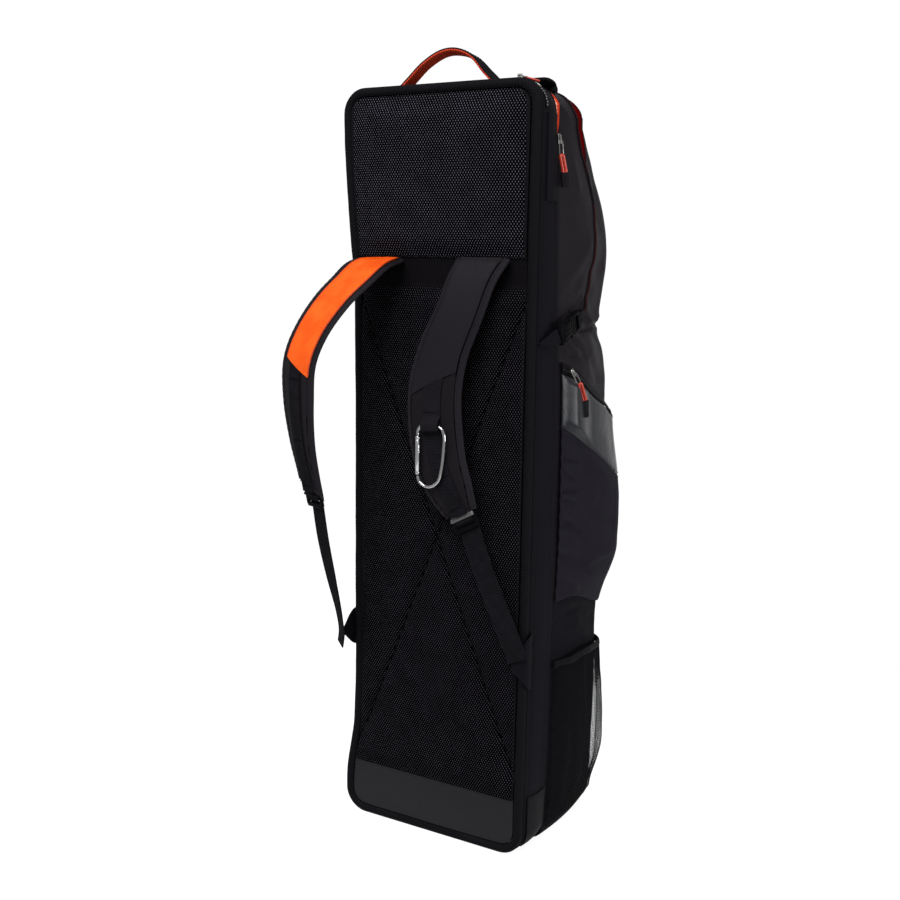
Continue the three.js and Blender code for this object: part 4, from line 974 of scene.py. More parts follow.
def back_stitches(heights, reach, lift):
    """Rows of stitches across the back panel."""
    for z in heights:
        row = back_grid(np.array([z]), steps(-reach, reach, 60), lift)[0]
        stitch_run(stitches, row - (0, 0.3, 0), (0, -1, 0))


def quilt_line(z):
    """Where one of the two sewn lines of the lower pad crosses a height, as a share of the half width."""
    return lerp(-1, 1, (z - QUILT_LOW) / (QUILT_TOP - QUILT_LOW))


def quilt_near(a, z):
    """Distance to the nearer of the two sewn lines of the lower pad."""
    line = quilt_line(z)
    wide = back_half(z) - PAD_INSET
    return np.minimum(np.abs(a - line), np.abs(a + line)) * wide * 0.92


def lower_pad_lift(a, z):
    edge = np.minimum(z - KICK_TOP, YOKE_LOW - z)
    crown = 5 + 5.5 * (1 - np.abs(a) ** 5) * smooth(edge, 0, 22)
    near = quilt_near(a, z)
    groove = 2 * dent(near, 12) + 2.8 * dent(near, 2.6)
    pucker = 0.25 * np.sin(z / 2.6) * dent(near, 9)
    slack = 0.9 * np.sin(z / 41 + 2 * a) * np.sin(a * 5 + z / 67) * (1 - np.abs(a) ** 3) * smooth(edge, 0, 40)
    return crown - groove + pucker + slack


def upper_pad_lift(a, z):
    edge = np.minimum(z - YOKE_TOP + 4, HEIGHT - PAD_INSET - z + 2)
    crown = 5 + 8 * (1 - np.abs(a) ** 5) * smooth(edge, 0, 30)
    slack = 0.6 * np.sin(z / 37 + 3 * a) * np.sin(a * 4) * smooth(edge, 0, 40)
    return crown + slack


def yoke_lift(a, z):
    hems = 0.7 * dent(z - YOKE_LOW, 2.5) + 0.7 * dent(z - YOKE_TOP, 2.5)
    return CLOTH + GAP + hems + 0.35 * np.sin(a * 31) * np.sin((z - YOKE_LOW) / 9)


def kick_lift(a, z):
    hem = 0.9 * dent(z - KICK_TOP + 3, 3)
    sag = 0.5 * np.sin(a * 5 + 0.6) * np.sin(z / 18)
    return CLOTH + GAP + hem + sag + 0.8 * (1 - np.abs(a) ** 6)


PAD_EDGE = 0.982
CORNER_ROWS = (0, 0.03, 0.12, 0.27, 0.5, 0.75, 1)


def build_pads():
    corner = RIM_CORNER - PAD_INSET
    top_end = HEIGHT - PAD_INSET
    bend = corner * np.array(CORNER_ROWS)
    low_rows = steps(KICK_TOP + SEAM, YOKE_LOW - SEAM, 300)
    top_rows = np.concatenate([steps(YOKE_TOP + SEAM, top_end - corner, 70), (top_end - bend)[::-1][1:]])
    # The lower pad takes the darker copy of the mesh: painted shade.
    for name, rows, lift, count, material in (
        ("lower_mesh_pad", low_rows, lower_pad_lift, 110, SHADED_MESH),
        ("upper_mesh_pad", top_rows, upper_pad_lift, 70, AIR_MESH),
    ):
        form = back_sheet(rows, count, lift, mesh=True)
        centres = np.array(form.points)[np.array(form.faces)].mean(axis=1)
        form.slots = (np.abs(centres[:, 0]) > pad_half(centres[:, 2]) * PAD_EDGE).astype(int).tolist()
        pad = form.piece(name + "_quilted", [material, BINDING], name, "air_mesh")

    # Thread in the two sewn lines of the lower pad.
    z = steps(QUILT_LOW + 6, QUILT_TOP - 4, 240)
    for sign in (-1, 1):
        a = sign * quilt_line(z)
        line = place(a * pad_half(z), BOARD_BACK + back_recess(z) - lower_pad_lift(a, z) - 0.1, z)
        tube(line, 0.8, sides=6, form=seam_threads)

    # The yoke band takes the darker satin, a painted shadow under the upper pad.
    yoke = back_sheet(steps(YOKE_LOW + SEAM, YOKE_TOP - SEAM, 16), 60, yoke_lift)
    yoke.piece("yoke_band", YOKE_SHADOW_CLOTH, "yoke_panel", "cloth")
    back_stitches((YOKE_LOW + 3.5, YOKE_TOP - 3.5), 0.97, yoke_lift)
    kick_rows = np.concatenate([PAD_INSET + bend, steps(RIM_CORNER, KICK_TOP - SEAM, 16)[1:]])
    kick = back_sheet(kick_rows, 60, kick_lift)
    kick.piece("kick_patch_coated", COATED, "kick_patch", "coated")
    back_stitches((KICK_TOP - 4, KICK_TOP - 8), 0.98, kick_lift)


def rim_path(inset):
    """Outline of the back panel on one side, from the middle of the base to the middle of the top."""
    corner = RIM_CORNER - inset
    low = np.radians(steps(-90, 0, 14))
    high = np.radians(steps(0, 90, 14))
    z = np.concatenate([
        inset + corner + corner * np.sin(low),
        steps(inset + corner, HEIGHT - inset - corner, 170)[1:-1],
        HEIGHT - inset - corner + corner * np.sin(high),
    ])
    turned = np.concatenate([corner - corner * np.cos(low), np.zeros(169), corner - corner * np.cos(high)])
    return np.stack([back_half(z) - inset - turned, z], axis=-1)


def rim_loop(inset, depth):
    right = rim_path(inset)
    right = np.vstack([[right[0, 0] * 0.5, right[0, 1]], right, [right[-1, 0] * 0.5, right[-1, 1]]])
    x = np.concatenate([right[:, 0], -right[::-1, 0]])
    z = np.concatenate([right[:, 1], right[::-1, 1]])
    return place(x, depth + back_recess(z), z)


def build_rim():
    path = rim_loop(RIM_RADIUS, RIM_RADIUS)
    radius = RIM_RADIUS + 0.35 * wobble(path, 60) + 0.2 * wobble(path, 14, 5)
    form = tube(path, radius - 0.2, sides=20, closed=True)
    tube(rim_loop(2.3, 2 * RIM_RADIUS), 2.7, sides=12, closed=True, form=form)
    rim = form.piece("back_rim_bound", BINDING, "back_rim", "webbing", sharp=60)
    inner = rim_loop(2 * RIM_RADIUS - 1.2, 2.2)
    stitch_run(stitches, inner, (0, -1, 0))


# Gusset between the back panel and the main compartment.

GUSSET_COLUMNS = steps(0, 1, 18)
GUSSET_REAR_DROP = 3
GUSSET_STITCHES = table("share lift", (0.14, 0.2), (0.79, 0.5))
KICK_ROWS = np.concatenate([[10, 13, 17, 22, 28], steps(32, 78, 12)])
GUARD_ROWS = steps(838, 940, 40)
PATCH_HEM_SHARE = 0.06


def gusset_depth(share, z):
    return lerp(GUSSET_REAR + back_recess(z), seam_depth(z), share)


def gusset_outline(share, lift):
    """Right half of the bag's outline at a share of the gusset, from the base round to the top."""
    top = lerp(HEIGHT - GUSSET_REAR_DROP, GUSSET_TOP, share)
    low = np.radians(steps(-90, 0, 12))
    high = np.radians(steps(0, 90, 12))
    radius = RIM_CORNER + lift
    straight = steps(RIM_CORNER, top - RIM_CORNER, 190)[1:-1]

    def half(z):
        return lerp(back_half(z), body_half(z), share)

    foot = half(0.0) - RIM_CORNER + radius * np.cos(low)
    head = half(top) - RIM_CORNER + radius * np.cos(high)
    rise = [RIM_CORNER + radius * np.sin(low), straight, top - RIM_CORNER + radius * np.sin(high)]
    return np.concatenate([foot, half(straight) + lift, head]), np.concatenate(rise)


def gusset_lift(share):
    return GUSSET_BELLY * np.sin(np.pi * share)


def on_gusset(share, z, lift, sign=1):
    top = lerp(HEIGHT - GUSSET_REAR_DROP, GUSSET_TOP, share)
    half = lerp(back_half(z), body_half(z), share) - round_inset(RIM_CORNER, np.minimum(z, top - z))
    return place(sign * (half + gusset_lift(share) + lift), gusset_depth(share, z), z)


def build_gusset():
    for side, sign in (("right", 1), ("left", -1)):
        columns = []
        for share in GUSSET_COLUMNS:
            x, z = gusset_outline(share, gusset_lift(share))
            columns.append(place(sign * x, gusset_depth(share, z), z))
        outer = np.stack(columns, axis=1)
        z = outer[..., 2]
        share = np.broadcast_to(GUSSET_COLUMNS, z.shape)
        flap = 1.3 * window(share, 0.8, 0.86, 0.95, 1) * window(z, 25, 60, 870, 900)
        slack = 0.9 * wobble(outer, 90, sign) * np.sin(np.pi * share)
        tuck = -0.8 * dent(share - 0.1, 0.05)
        outer[..., 0] += sign * (flap + slack + tuck)
        # The gusset takes the darker copy of the satin: painted shade.
        cloth_wall(outer).piece(f"gusset_{side}_cloth", GUSSET_SHADE_CLOTH, f"gusset_{side}", "cloth")
        z = steps(40, 930, 260)
        for row in GUSSET_STITCHES:
            stitch_run(stitches, on_gusset(row["share"], z, row["lift"], sign), (sign, 0, 0))

    for name, end, material, slot in (
        ("gusset_top", -1, GUSSET_SHADE_CLOTH, "cloth"), ("gusset_base", 0, COATED, "coated")
    ):
        rows = []
        for share in GUSSET_COLUMNS:
            x, z = gusset_outline(share, gusset_lift(share) if end else 0)
            rows.append(place(steps(-1, 1, 60) * (x[end] - SEAM), gusset_depth(share, z[end]), z[end]))
        cloth_wall(np.stack(rows)).piece(name + "_cloth", material, name, slot)

    for name, heights, shares, material, slot in (
        ("kick_gusset_right", KICK_ROWS, (0.06, 0.96), DULL_COATED, "coated"),
        ("zip_guard_right", GUARD_ROWS, (0.17, 0.88), GUSSET_SHADE_CLOTH, "webbing"),
    ):
        z, share = np.meshgrid(heights, steps(*shares, 14), indexing="ij")
        hem = 0.5 * dent(z - heights[-1] + 3, 2.5)
        form = wall(on_gusset(share, z, 2 + hem), on_gusset(share, z, 0.8))
        form.piece(name + "_patch", material, name, slot)
        low, high = heights[0] + 3, heights[-1] - 3.5
        first, last = shares[0] + PATCH_HEM_SHARE, shares[1] - PATCH_HEM_SHARE
        for at in (first, last):
            stitch_run(stitches, on_gusset(at, steps(max(low, 30), high, 40), 2.3), (1, 0, 0))
        for edge in (high,) if slot == "coated" else (low, high):
            stitch_run(stitches, on_gusset(steps(first, last, 20), np.full(21, edge), 2.6), (1, 0, 0))


SLIDER_X = 107
TEETH_SLOT = 1
STICK_ZIP_LOW = 942


def teeth_along(form, path, normals, width, thick, pitch):
    """Zip teeth along a path: rounded blocks, two rows that mesh."""
    distance = travelled(path)
    marks = np.arange(pitch, distance[-1] - pitch, pitch)
    at = sample(path, distance, marks)
    along = unit(np.gradient(at, axis=0))
    across = unit(np.cross(along, sample(normals, distance, marks)))
    size = (width, pitch * 0.62, thick)
    for k in range(len(marks)):
        shift = width * 0.18 * (1 if k % 2 else -1)
        block(size, 0.3, at[k] + across[k] * shift, across[k], along[k], form, TEETH_SLOT, segments=1)


def build_stick_zip():
    """Coarse zip along the rim over the top: a black tape under silver teeth."""
    paths = []
    for share in (0.04, 0.1, 0.16):
        x, z = gusset_outline(share, gusset_lift(share) + 1)
        keep = (z > STICK_ZIP_LOW) & (x > 0)
        x = np.append(x[keep], [x[keep][-1] * 0.5, 0])
        z = np.append(z[keep], [z[keep][-1]] * 2)
        x = np.append(x, -x[-2::-1])
        z = np.append(z, z[-2::-1])
        paths.append(place(x, gusset_depth(share, z), z))
    count = 4 * min(len(path) for path in paths)
    even = []
    for path in paths:
        distance = travelled(path)
        even.append(sample(path, distance, np.linspace(0, distance[-1], count)))
    outer = np.stack(even, axis=1)
    away = unit(even[1] * (1, 0, 1) - np.array([0, 0, 860]))
    form = wall(outer + away[:, None] * 0.2, outer - away[:, None] * 0.4)
    teeth_along(form, even[1] + away * 0.5, away, 2.4, 1.0, 3.4)
    seat = place(SLIDER_X, gusset_depth(0.1, HEIGHT - 4), HEIGHT - 1.2)
    right, front = np.array([1.0, 0, 0]), np.array([0, 1.0, 0])
    for size, at in (((9, 6.4, 3), (0, 0, 1.6)), ((5, 3, 4), (-1, 0, 4.6))):
        block(size, 0.8, seat + at, right, -front, form, slot=1)
    for start, end, half, radius, slot in (
        ((-4, 0, 5), (9, -1, 1.8), 2.2, 0.9, 1), ((7, -1, 1.8), (22, 3, -2.6), 1.6, 1.2, 2)
    ):
        tube(loop_path(seat + start, seat + end, front, half), radius, 8, True, form, slot)
    form.piece("stick_zip_chain", [BINDING, SILVER_TEETH, CORD_ORANGE], "stick_zip", "silver_zip")


# Main compartment: cloth walls with folds.

HULL_ROWS = np.concatenate([steps(0, BASE_V, 8), steps(BASE_V, WALL_V, 170)[1:], steps(WALL_V, 1, 34)[1:]])


WAIST_Z = 677
SHADE_BAND_Z = 345


def pocket_low(share):
    return POCKET_BOTTOM_Z - POCKET_BOTTOM_FALL * smooth(share, 0.1, 0.62)


def side_lift(share, v):
    """How far the cloth of the side stands off its plain shape: creases, slack and the pull of its seams."""
    share, v = np.broadcast_arrays(np.asarray(share, float), np.asarray(v, float))
    near = np.where(share > 1, 2 - share, share)
    points = hull_point(near, v)
    depth, z = points[..., 1] - BACK_Y, points[..., 2]
    low, top = pocket_low(near), pocket_top(near)
    under_pocket = window(z, low - 16, low - 4, top + 4, top + 14)
    bare = (1 - under_pocket * (near < POCKET_SHARE)) * smooth(z, 20, 60) * (1 - smooth(v, WALL_V, 0.94))
    crease = crease_lift(SIDE_CREASES, points) * window(near, 0, 0.05, 0.5, 0.6)
    slack = 1.1 * wobble(points, 60) + 0.5 * wobble(points, 22, 7)
    waist = z - WAIST_Z - 0.12 * (depth - 130)
    notch = 2 * dent(waist - 8, 6) - 4.5 * dent(waist, 3.4)
    crease = crease + notch * smooth(depth, 112, 132)
    tuck = 0.5 * np.sin(z / 4.2) * np.exp(-near / 0.03)
    slack = slack * smooth(near, 0, 0.08) * lerp(1, 2.2, smooth(near, 0.6, 0.8))
    return bare * (crease + slack + tuck)


PANEL_GAP = 0.0015
BASE_RINGS = table("inset z", (4, 0), (2, 0.5), (1.2, 1.5), (1.2, 3))


def build_main():
    sides = np.concatenate([steps(0, 0.03, 5), steps(0.03, SEAM_SHARE - PANEL_GAP, 70)[1:]])
    fronts = steps(SEAM_SHARE + PANEL_GAP, 2 - SEAM_SHARE - PANEL_GAP, 70)
    panels = {"side_panel_right": sides, "side_panel_left": 2 - sides, "front_panel": fronts}
    for name, shares in panels.items():
        v, share = np.meshgrid(HULL_ROWS, shares, indexing="ij")
        lift = side_lift(share, v)
        edge = np.minimum(np.abs(share - shares[0]), np.abs(share - shares[-1]))
        roll = -0.9 * np.exp(-edge / 0.006)
        form = wall(skin(share, v, lift + roll), skin(share, v, lift - CLOTH))
        # Below the pocket the right side panel takes the dull, bluer cloth: painted shade from the pocket's
        # bulge.
        heights = np.array(form.points)[[face[0] for face in form.faces], 2]
        painted_shade_band = (heights < SHADE_BAND_Z) & (name == "side_panel_right")
        form.slots = painted_shade_band.astype(int).tolist()
        form.piece(name + "_cloth", [BLACK, DULL_CLOTH_AND_SHADE], name, "cloth")
        path_v = steps(height_share(30), WALL_V, 300)
        for at in (shares[0], shares[-1]):
            inside = at + (0.014 if at == shares.min() else -0.014)
            path = skin(inside, path_v, side_lift(inside, path_v) + 0.1)
            stitch_run(stitches, path, unit(path * (1, 1, 0)))

    # Base: a coated plate with a rounded edge.
    share = steps(0, 2, 160)
    centre = place(0, (seam_depth(0) + body_front(0)) / 2, 0)
    out = (skin(share, 0 * share) - centre) * (1, 1, 0)
    length = np.linalg.norm(out, axis=-1, keepdims=True)
    rings = np.stack([centre + out * (1 - row["inset"] / length) + (0, 0, row["z"]) for row in BASE_RINGS])
    loft(rings, rings[..., :2] * MM).piece("base_plate", COATED, "base_panel", "coated")


# Right side and zips: side pocket, net pocket, front zip, mouth, pulls and waist strap.

def pocket_split(share):
    """Height of the seam between the pocket's two panels."""
    straight = PANEL_SPLIT_Z - PANEL_SPLIT_FALL * (share / SEAM_SHARE)
    return np.minimum(straight, pocket_top(share) - POCKET_ZIP - 12)


def pocket_lift(share, z):
    top = pocket_top(share) - POCKET_ZIP
    low = pocket_low(share)
    b = (z - low) / (top - low)
    rise = smooth(b, -0.03, 0.32) * (1 - 0.62 * smooth(b, 0.55, 1.02))
    around = lerp(0.34, 1, smooth(share, 0.02, 0.55))
    ends = window(share, -0.03, 0.1, POCKET_SHARE - 0.14, POCKET_SHARE + 0.01)
    return CLOTH + 1.8 + POCKET_BULGE * rise * around * ends


def pocket_skin(share, z, lift=0.0):
    return skin(share, height_share(z), pocket_lift(share, z) + lift)


GREY_PUFF = 7
ZIP_START_LIFT = 3.2


def build_pocket():
    shares = np.concatenate([steps(SIDE_START, 0.05, 8), steps(0.05, POCKET_SHARE, 92)[1:]])
    split = pocket_split(shares)
    top = pocket_top(shares) - POCKET_ZIP
    for name, low, high, count, material, slot, creased, puff in (
        ("pocket_lower_panel", pocket_low(shares), split - SEAM, 120, POCKET_CLOTH, "cloth", 1.0, 0),
        ("pocket_upper_panel", split + SEAM, top - SEAM, 40, GREY, "grey_coated", 0.35, GREY_PUFF),
    ):
        r = steps(0, 1, count)[:, None]
        z = lerp(low, high, r)
        share = np.broadcast_to(shares, z.shape)
        plain = pocket_skin(share, z)
        crease = crease_lift(POCKET_CREASES, plain) * creased * (1 - smooth(share, 0.5, 0.62))
        slack = creased * (0.9 * wobble(plain, 55, 3) + 0.4 * wobble(plain, 20, 4))
        edge = np.minimum(r, 1 - r) * (high - low)
        rear = share - SIDE_START
        pucker = 0.5 * np.sin(z / 3.1) * np.exp(-rear / 0.02) * creased
        held = smooth(edge, 0, 9) * smooth(share, SIDE_START, 0.03)
        roll = -0.9 * np.exp(-edge / 1.6) - 0.9 * np.exp(-rear / 0.004)
        puffed = puff * window(share, SIDE_START, 0.085, 0.09, 0.26) * smooth(edge, 0, 12)
        lift = (crease + slack) * held + pucker + roll + puffed
        form = wall(pocket_skin(share, z, lift), pocket_skin(share, z, lift - 1.4))
        form.piece(name + "_cloth", material, name, slot)
    for offset in (2.8, -2.8):
        z = split + offset
        stitch_run(stitches, pocket_skin(shares, z, 0.1), skin_out(shares, height_share(z)))

    # Zip in its band: tape, a welt over its upper side and the coil.
    r = steps(0, 1, 22)[:, None]
    z = pocket_top(shares) - POCKET_ZIP * r + SEAM
    share = np.broadcast_to(shares, z.shape)
    lift = lerp(ZIP_START_LIFT, pocket_lift(shares, top), r)
    welt = 1.2 * window(r, 0, 0.08, 0.5, 0.58) + 0.5 * smooth(r, 0.8, 0.9) - 0.4 * smooth(r, 0.94, 1)
    v = height_share(z)
    form = wall(skin(share, v, lift + welt), skin(share, v, lift - 1.2))
    coil_row, stitch_row = 14, 4
    coil = skin(shares, v[coil_row], lift[coil_row] + 0.2)
    tube(coil, 0.9, sides=8, form=form, slot=1)
    out = skin_out(shares, v[coil_row])
    teeth_along(form, coil + out * 0.6, out, 2.6, 0.7, 1.9)
    form.piece("pocket_zip_band", [BINDING, COIL_BLACK], "pocket_zip", "webbing")
    stitch_run(stitches, skin(shares, v[stitch_row], (lift + welt)[stitch_row] + 0.1), out)


def mesh_lift(share, z):
    ends = window(share, -0.05, 0.14, MESH_SHARE - 0.15, MESH_SHARE + 0.02)
    low = smooth(z, MESH_LOW_Z - 2, MESH_LOW_Z + 66)
    around = lerp(0.8, 1, smooth(share, 0.2, 0.56))
    high = 1 - 0.7 * smooth(z, 110, MESH_TOP_Z) * smooth(share, 0.3, 0.6)
    return 2.4 + MESH_BULGE * ends * low * around * high


def mesh_skin(share, z, lift=0.0):
    return skin(share, height_share(z), mesh_lift(share, z) + lift)


def mesh_height(share, rise):
    return lerp(MESH_LOW_Z, MESH_TOP_Z - MESH_TOP_FALL * smooth(share, 0.25, 0.66), rise)


NET_CELL = 3.5
NET_STRAND = 0.58
NET_STRAND_FRONT = 0.36
NET_SAMPLE = 4.0
NET_RUN_Z = 130.0


def build_net():
    """Net pocket of knotted strands, loose enough to fold, with a bound top edge."""
    shares = steps(SIDE_START, MESH_SHARE, 200)
    arc = travelled(mesh_skin(shares, np.full(201, NET_RUN_Z)))
    tall = (MESH_TOP_Z - MESH_LOW_Z) * MESH_BOUND
    q = np.arange(0, tall + NET_SAMPLE / 2, NET_SAMPLE)
    form = Form()
    for slant in (1, -1):
        for start in np.arange(-tall, arc[-1] + tall, math.sqrt(2) * NET_CELL):
            p = start + slant * q
            keep = (p >= 0) & (p <= arc[-1])
            if keep.sum() < 3:
                continue
            share = np.interp(p[keep], arc, shares)
            z = mesh_height(share, q[keep] / tall * MESH_BOUND)
            plain = mesh_skin(share, z)
            fold = 2.6 * np.sin(plain[:, 1] / 7.5 + 0.5 * np.sin(z / 31))
            fold *= smooth(z, 30, 90) * (1 - smooth(share, 0.5, 0.6))
            sag = np.clip(fold, -1.4, 2.8) + 0.9 * wobble(plain, 26, 9)
            stretched = smooth(share, 0.25, 0.38) * (1 - smooth(z, 172, 198))
            radius = lerp(NET_STRAND, NET_STRAND_FRONT, stretched)
            tube(mesh_skin(share, z, sag - 0.5), radius, sides=3, form=form)
    form.piece("net_pocket_strands", NET, "mesh_pocket", "net", sharp=180)

    r, share = np.meshgrid(steps(0, 1, 8), steps(SIDE_START, MESH_SHARE, 130), indexing="ij")
    z = mesh_height(share, lerp(MESH_BOUND, 1.0, r))
    gather = 0.25 * np.sin(share * 190 + 2 * np.sin(share * 40)) * np.sin(np.pi * r)
    lift = 1.1 * np.sqrt(np.clip(1 - (2 * r - 1) ** 2, 0, 1)) + gather
    form = wall(mesh_skin(share, z, lift), mesh_skin(share, z, -1.4))
    form.piece("net_binding", BINDING, "mesh_binding", "webbing")
    share, z, lift = share[3], z[3], lift[3]
    stitch_run(stitches, mesh_skin(share, z, lift + 0.1), skin_out(share, height_share(z)))


def skin_frames(knots, count):
    """Centres, normals and side directions over the skin along a smooth path of shares and heights."""
    path = spline([(share, v, 0) for share, v in knots], steps(0, 1, count))
    share, v = path[:, 0], path[:, 1]
    centre = skin(share, v, side_lift(share, v))
    normal = skin_out(share, v)
    across = unit(np.cross(np.gradient(centre, axis=0), normal))
    return centre, normal, across


FRONT_ZIP_HALF = 2.6
PIPED_RUNS = ((0, 65), (81, 340), (356, 421))


LINING_START = 0.12
LINING_WIDTH = 0.14
LINING_FLARE = 1.5


def build_front_zip():
    side = [(float(share_at_depth(row["depth"], row["z"])), height_share(row["z"])) for row in FRONT_ZIP]
    top = [(row["share"], lerp(WALL_V, 1, row["over"])) for row in FRONT_ZIP_TOP]
    right = side + top
    left = [(2 - share, v) for share, v in right[:-1]][::-1]
    centre, normal, across = skin_frames(right + left, 420)
    flat = centre[:, None] + across[:, None] * FRONT_ZIP_HALF * steps(-1, 1, 4)[None, :, None]
    form = wall(flat + normal[:, None] * 1.3, flat - normal[:, None] * 1.0)
    piping = centre + normal * 1.4
    for start, stop in PIPED_RUNS:
        tube(piping[start:stop], 0.5, sides=8, form=form, slot=1)
    tube(piping + across * 1.5, 0.7, sides=8, form=form)
    form.piece("front_zip_piping", [DULL_CLOTH_AND_SHADE, RED_EDGE], "front_zip", "red")

    # Lining that shows where the front pocket stands open near the top, dark red with painted shade.
    run = spline([(share, v, 0) for share, v in right[5:10]], steps(LINING_START, 1, 80))
    swell = np.sin(np.pi * steps(0.01, 0.99, 80))[:, None] ** 0.8
    reach = steps(0, 1, 10)
    share = run[:, :1] + 0.008 + LINING_WIDTH * swell * reach
    v = run[:, 1:2] + 0 * share
    plain = side_lift(share, v)
    outer = skin(share, v, plain + 1 + LINING_FLARE * swell * reach**1.6)
    form = wall(outer, skin(share, v, plain - 1))
    tube(outer[:, -1], 0.8, sides=6, form=form, slot=1)
    form.piece("front_lining_cloth", [RED_LINING_SHADE, DULL_CLOTH_AND_SHADE], "front_pocket_lining", "red")


def hanging_tape(form, path, ahead, gap):
    """One side of an open zip: a tape that hangs from its edge into the gap, with its coil along it."""
    change = np.gradient(path, axis=0)
    inward = unit(np.stack([-change[:, 2], 0 * change[:, 0], change[:, 0]], axis=-1))
    share = steps(0, 1, 8)
    reach = share[None, :, None] * (0.44 * gap)[:, None, None] * np.array([0, ahead, 0])
    sink = inward[:, None] * (0.3 + 1.8 * share**1.5)[None, :, None] * smooth(gap, 0.3, 3)[:, None, None]
    outer = path[:, None] + reach + sink
    wall(outer, outer + inward[:, None] * 0.7, form=form)
    teeth_along(form, outer[:, -1], -inward, 2, 1.4, 2.0)


MOUTH_WELT = 2.8


def build_mouth_tape():
    rise = steps(height_share(MOUTH_LOW + 4), WALL_V, 16)
    corner = steps(WALL_V, 1, 40)[1:]
    share = np.concatenate([0 * rise, 0 * corner, steps(0, 1, 60)[1:]])
    v = np.concatenate([rise, corner, np.ones(60)])
    right = skin(share, v)
    path = np.concatenate([right, right[-2::-1] * (-1, 1, 1)])
    form = Form()
    hanging_tape(form, path + (0, -0.3, 0), -1, mouth_at(path[:, 2]))

    x, z = gusset_outline(1, 0)
    keep = z > MOUTH_LOW + 4
    right = place(x[keep], seam_depth(z[keep]), z[keep])
    top = lerp(right[-1], right[-1] * (-1, 1, 1), steps(0, 1, 80)[1:-1, None])
    path = np.concatenate([right, top, right[::-1] * (-1, 1, 1)])
    hanging_tape(form, path + (0, 0.3, 0), 1, mouth_at(path[:, 2]))
    tube(path, lerp(0.4, MOUTH_WELT, smooth(path[:, 2], 948, 966)), sides=12, form=form, slot=2)
    # The mouth's coil teeth take the pale coil, which holds a painted highlight.
    form.piece("mouth_tape_orange", [ORANGE_TAPE, COIL_PAINTED_HIGHLIGHT, GUSSET_SHADE_CLOTH], "main_zip_tape", "orange")


LOOP_POINTS = 40


def loop_path(start, end, across, half):
    """A long loop between two points: two straight runs and two round ends."""
    along = unit(end - start)
    turn = np.linspace(0, 2 * np.pi, LOOP_POINTS, endpoint=False)
    length = np.linalg.norm(end - start) - 2 * half
    middle = (start + end) / 2
    reach = half * np.cos(turn) + np.sign(np.cos(turn)) * length / 2
    return middle + along * reach[:, None] + across * (half * np.sin(turn))[:, None]


def build_puller(name, points, thick):
    """Zip slider with a wire pull, a cord loop through it and a rubber grip, all turned to the rear."""
    body, loop_top, grip_top, end = points
    flat = np.array([1.0, 0, 0])
    facing = unit(np.array(PULL_FACING))
    along = unit(body - loop_top)
    across = unit(np.cross(along, flat))
    length = np.linalg.norm(body - loop_top)
    size = (7.4, length * 0.46, thick * 0.5)
    slider = block(size, 0.9, lerp(body, loop_top, 0.24), across, along, taper=0.72)
    bridge = lerp(body, loop_top, 0.26) + flat * thick * 0.42
    block((3, length * 0.4, 1.6), 0.7, bridge, across, along, slider)
    side = unit(np.cross(along, facing))
    pull = loop_path(lerp(body, loop_top, 0.3), lerp(body, loop_top, 1.06), side, 2.4)
    tube(pull + flat * thick * 0.35, 0.8, sides=8, closed=True, form=slider)
    slider.piece(name + "_slider_metal", NICKEL, name + "_slider", "metal")

    drop = unit(loop_top - grip_top)
    side = unit(np.cross(drop, facing))
    cord = loop_path(loop_top + drop * 2, grip_top - drop * 2, side, 2.1)
    loop = tube(cord + flat * 2.2, 1.8, sides=10, closed=True)
    loop.piece(name + "_loop_cord", CORD_ORANGE, name + "_loop", "orange")

    hang = unit(grip_top - end)
    side = unit(np.cross(hang, facing))
    tall = np.linalg.norm(grip_top - end) - 1.2
    middle = (grip_top + end) / 2 + flat * 2.2
    grip = block((11, tall, 4.4), 1.4, middle, side, hang, segments=3)
    for rise in steps(-0.28, 0.16, 3):
        block((8.6, 1.0, 5), 0.35, middle + hang * tall * rise, side, hang, grip)
    grip.piece(name + "_grip_rubber", GRIP, name + "_grip", "plastic")


def build_pullers():
    main = [place(body_half(row["z"]) + row["over"], row["depth"], row["z"]) for row in MAIN_PULL]
    build_puller("main_zip", main, 5)
    build_puller("pocket_zip", [place(row["x"], row["depth"], row["z"]) for row in POCKET_PULL], 4)


def build_compression():
    for name, rows, thin, wide in (
        ("compression_rear", COMPRESSION_REAR, 3, 9), ("compression_front", COMPRESSION_FRONT, 9, 5)
    ):
        strap = Strap(rows, sideways=(0, 0, 1))
        shares = steps(0, 1, 24)
        form = ribbon(strap, shares, lambda s: lerp(thin, wide, smooth(s, 0, 0.9)), 0.0, WEBBING, columns=10)
        form.piece(name + "_webbing", DULL_CLOTH_AND_SHADE, name, "webbing")
    start, end = place(*BUCKLE_START), place(*BUCKLE_END)
    along = unit(end - start)
    across = unit(np.cross(along, (1, 0, 0)))
    up = np.cross(across, along)
    up = up if up[0] > 0 else -up
    for name, rows in (("buckle_socket", BUCKLE_SOCKET), ("buckle_plug", BUCKLE_PLUG)):
        blocks(rows, start, across, along, up).piece(name + "_moulded", PLASTIC, name, "plastic")


# Handle, straps and carabiner.

def edge_stitches(strap, shares, inset, lift):
    """Rows of stitches along both edges of a strap's face."""
    _, _, _, out = strap.frames(shares)
    for side in (-1, 1):
        row = strap.points(shares, side * (strap.half(shares) - inset), np.full(shares.shape, lift))
        stitch_run(stitches, row, out)


BEAD = 2.5
SEAM_INSET = STRAP_BORDER + 0.9


TAB_ROLL = 4.6


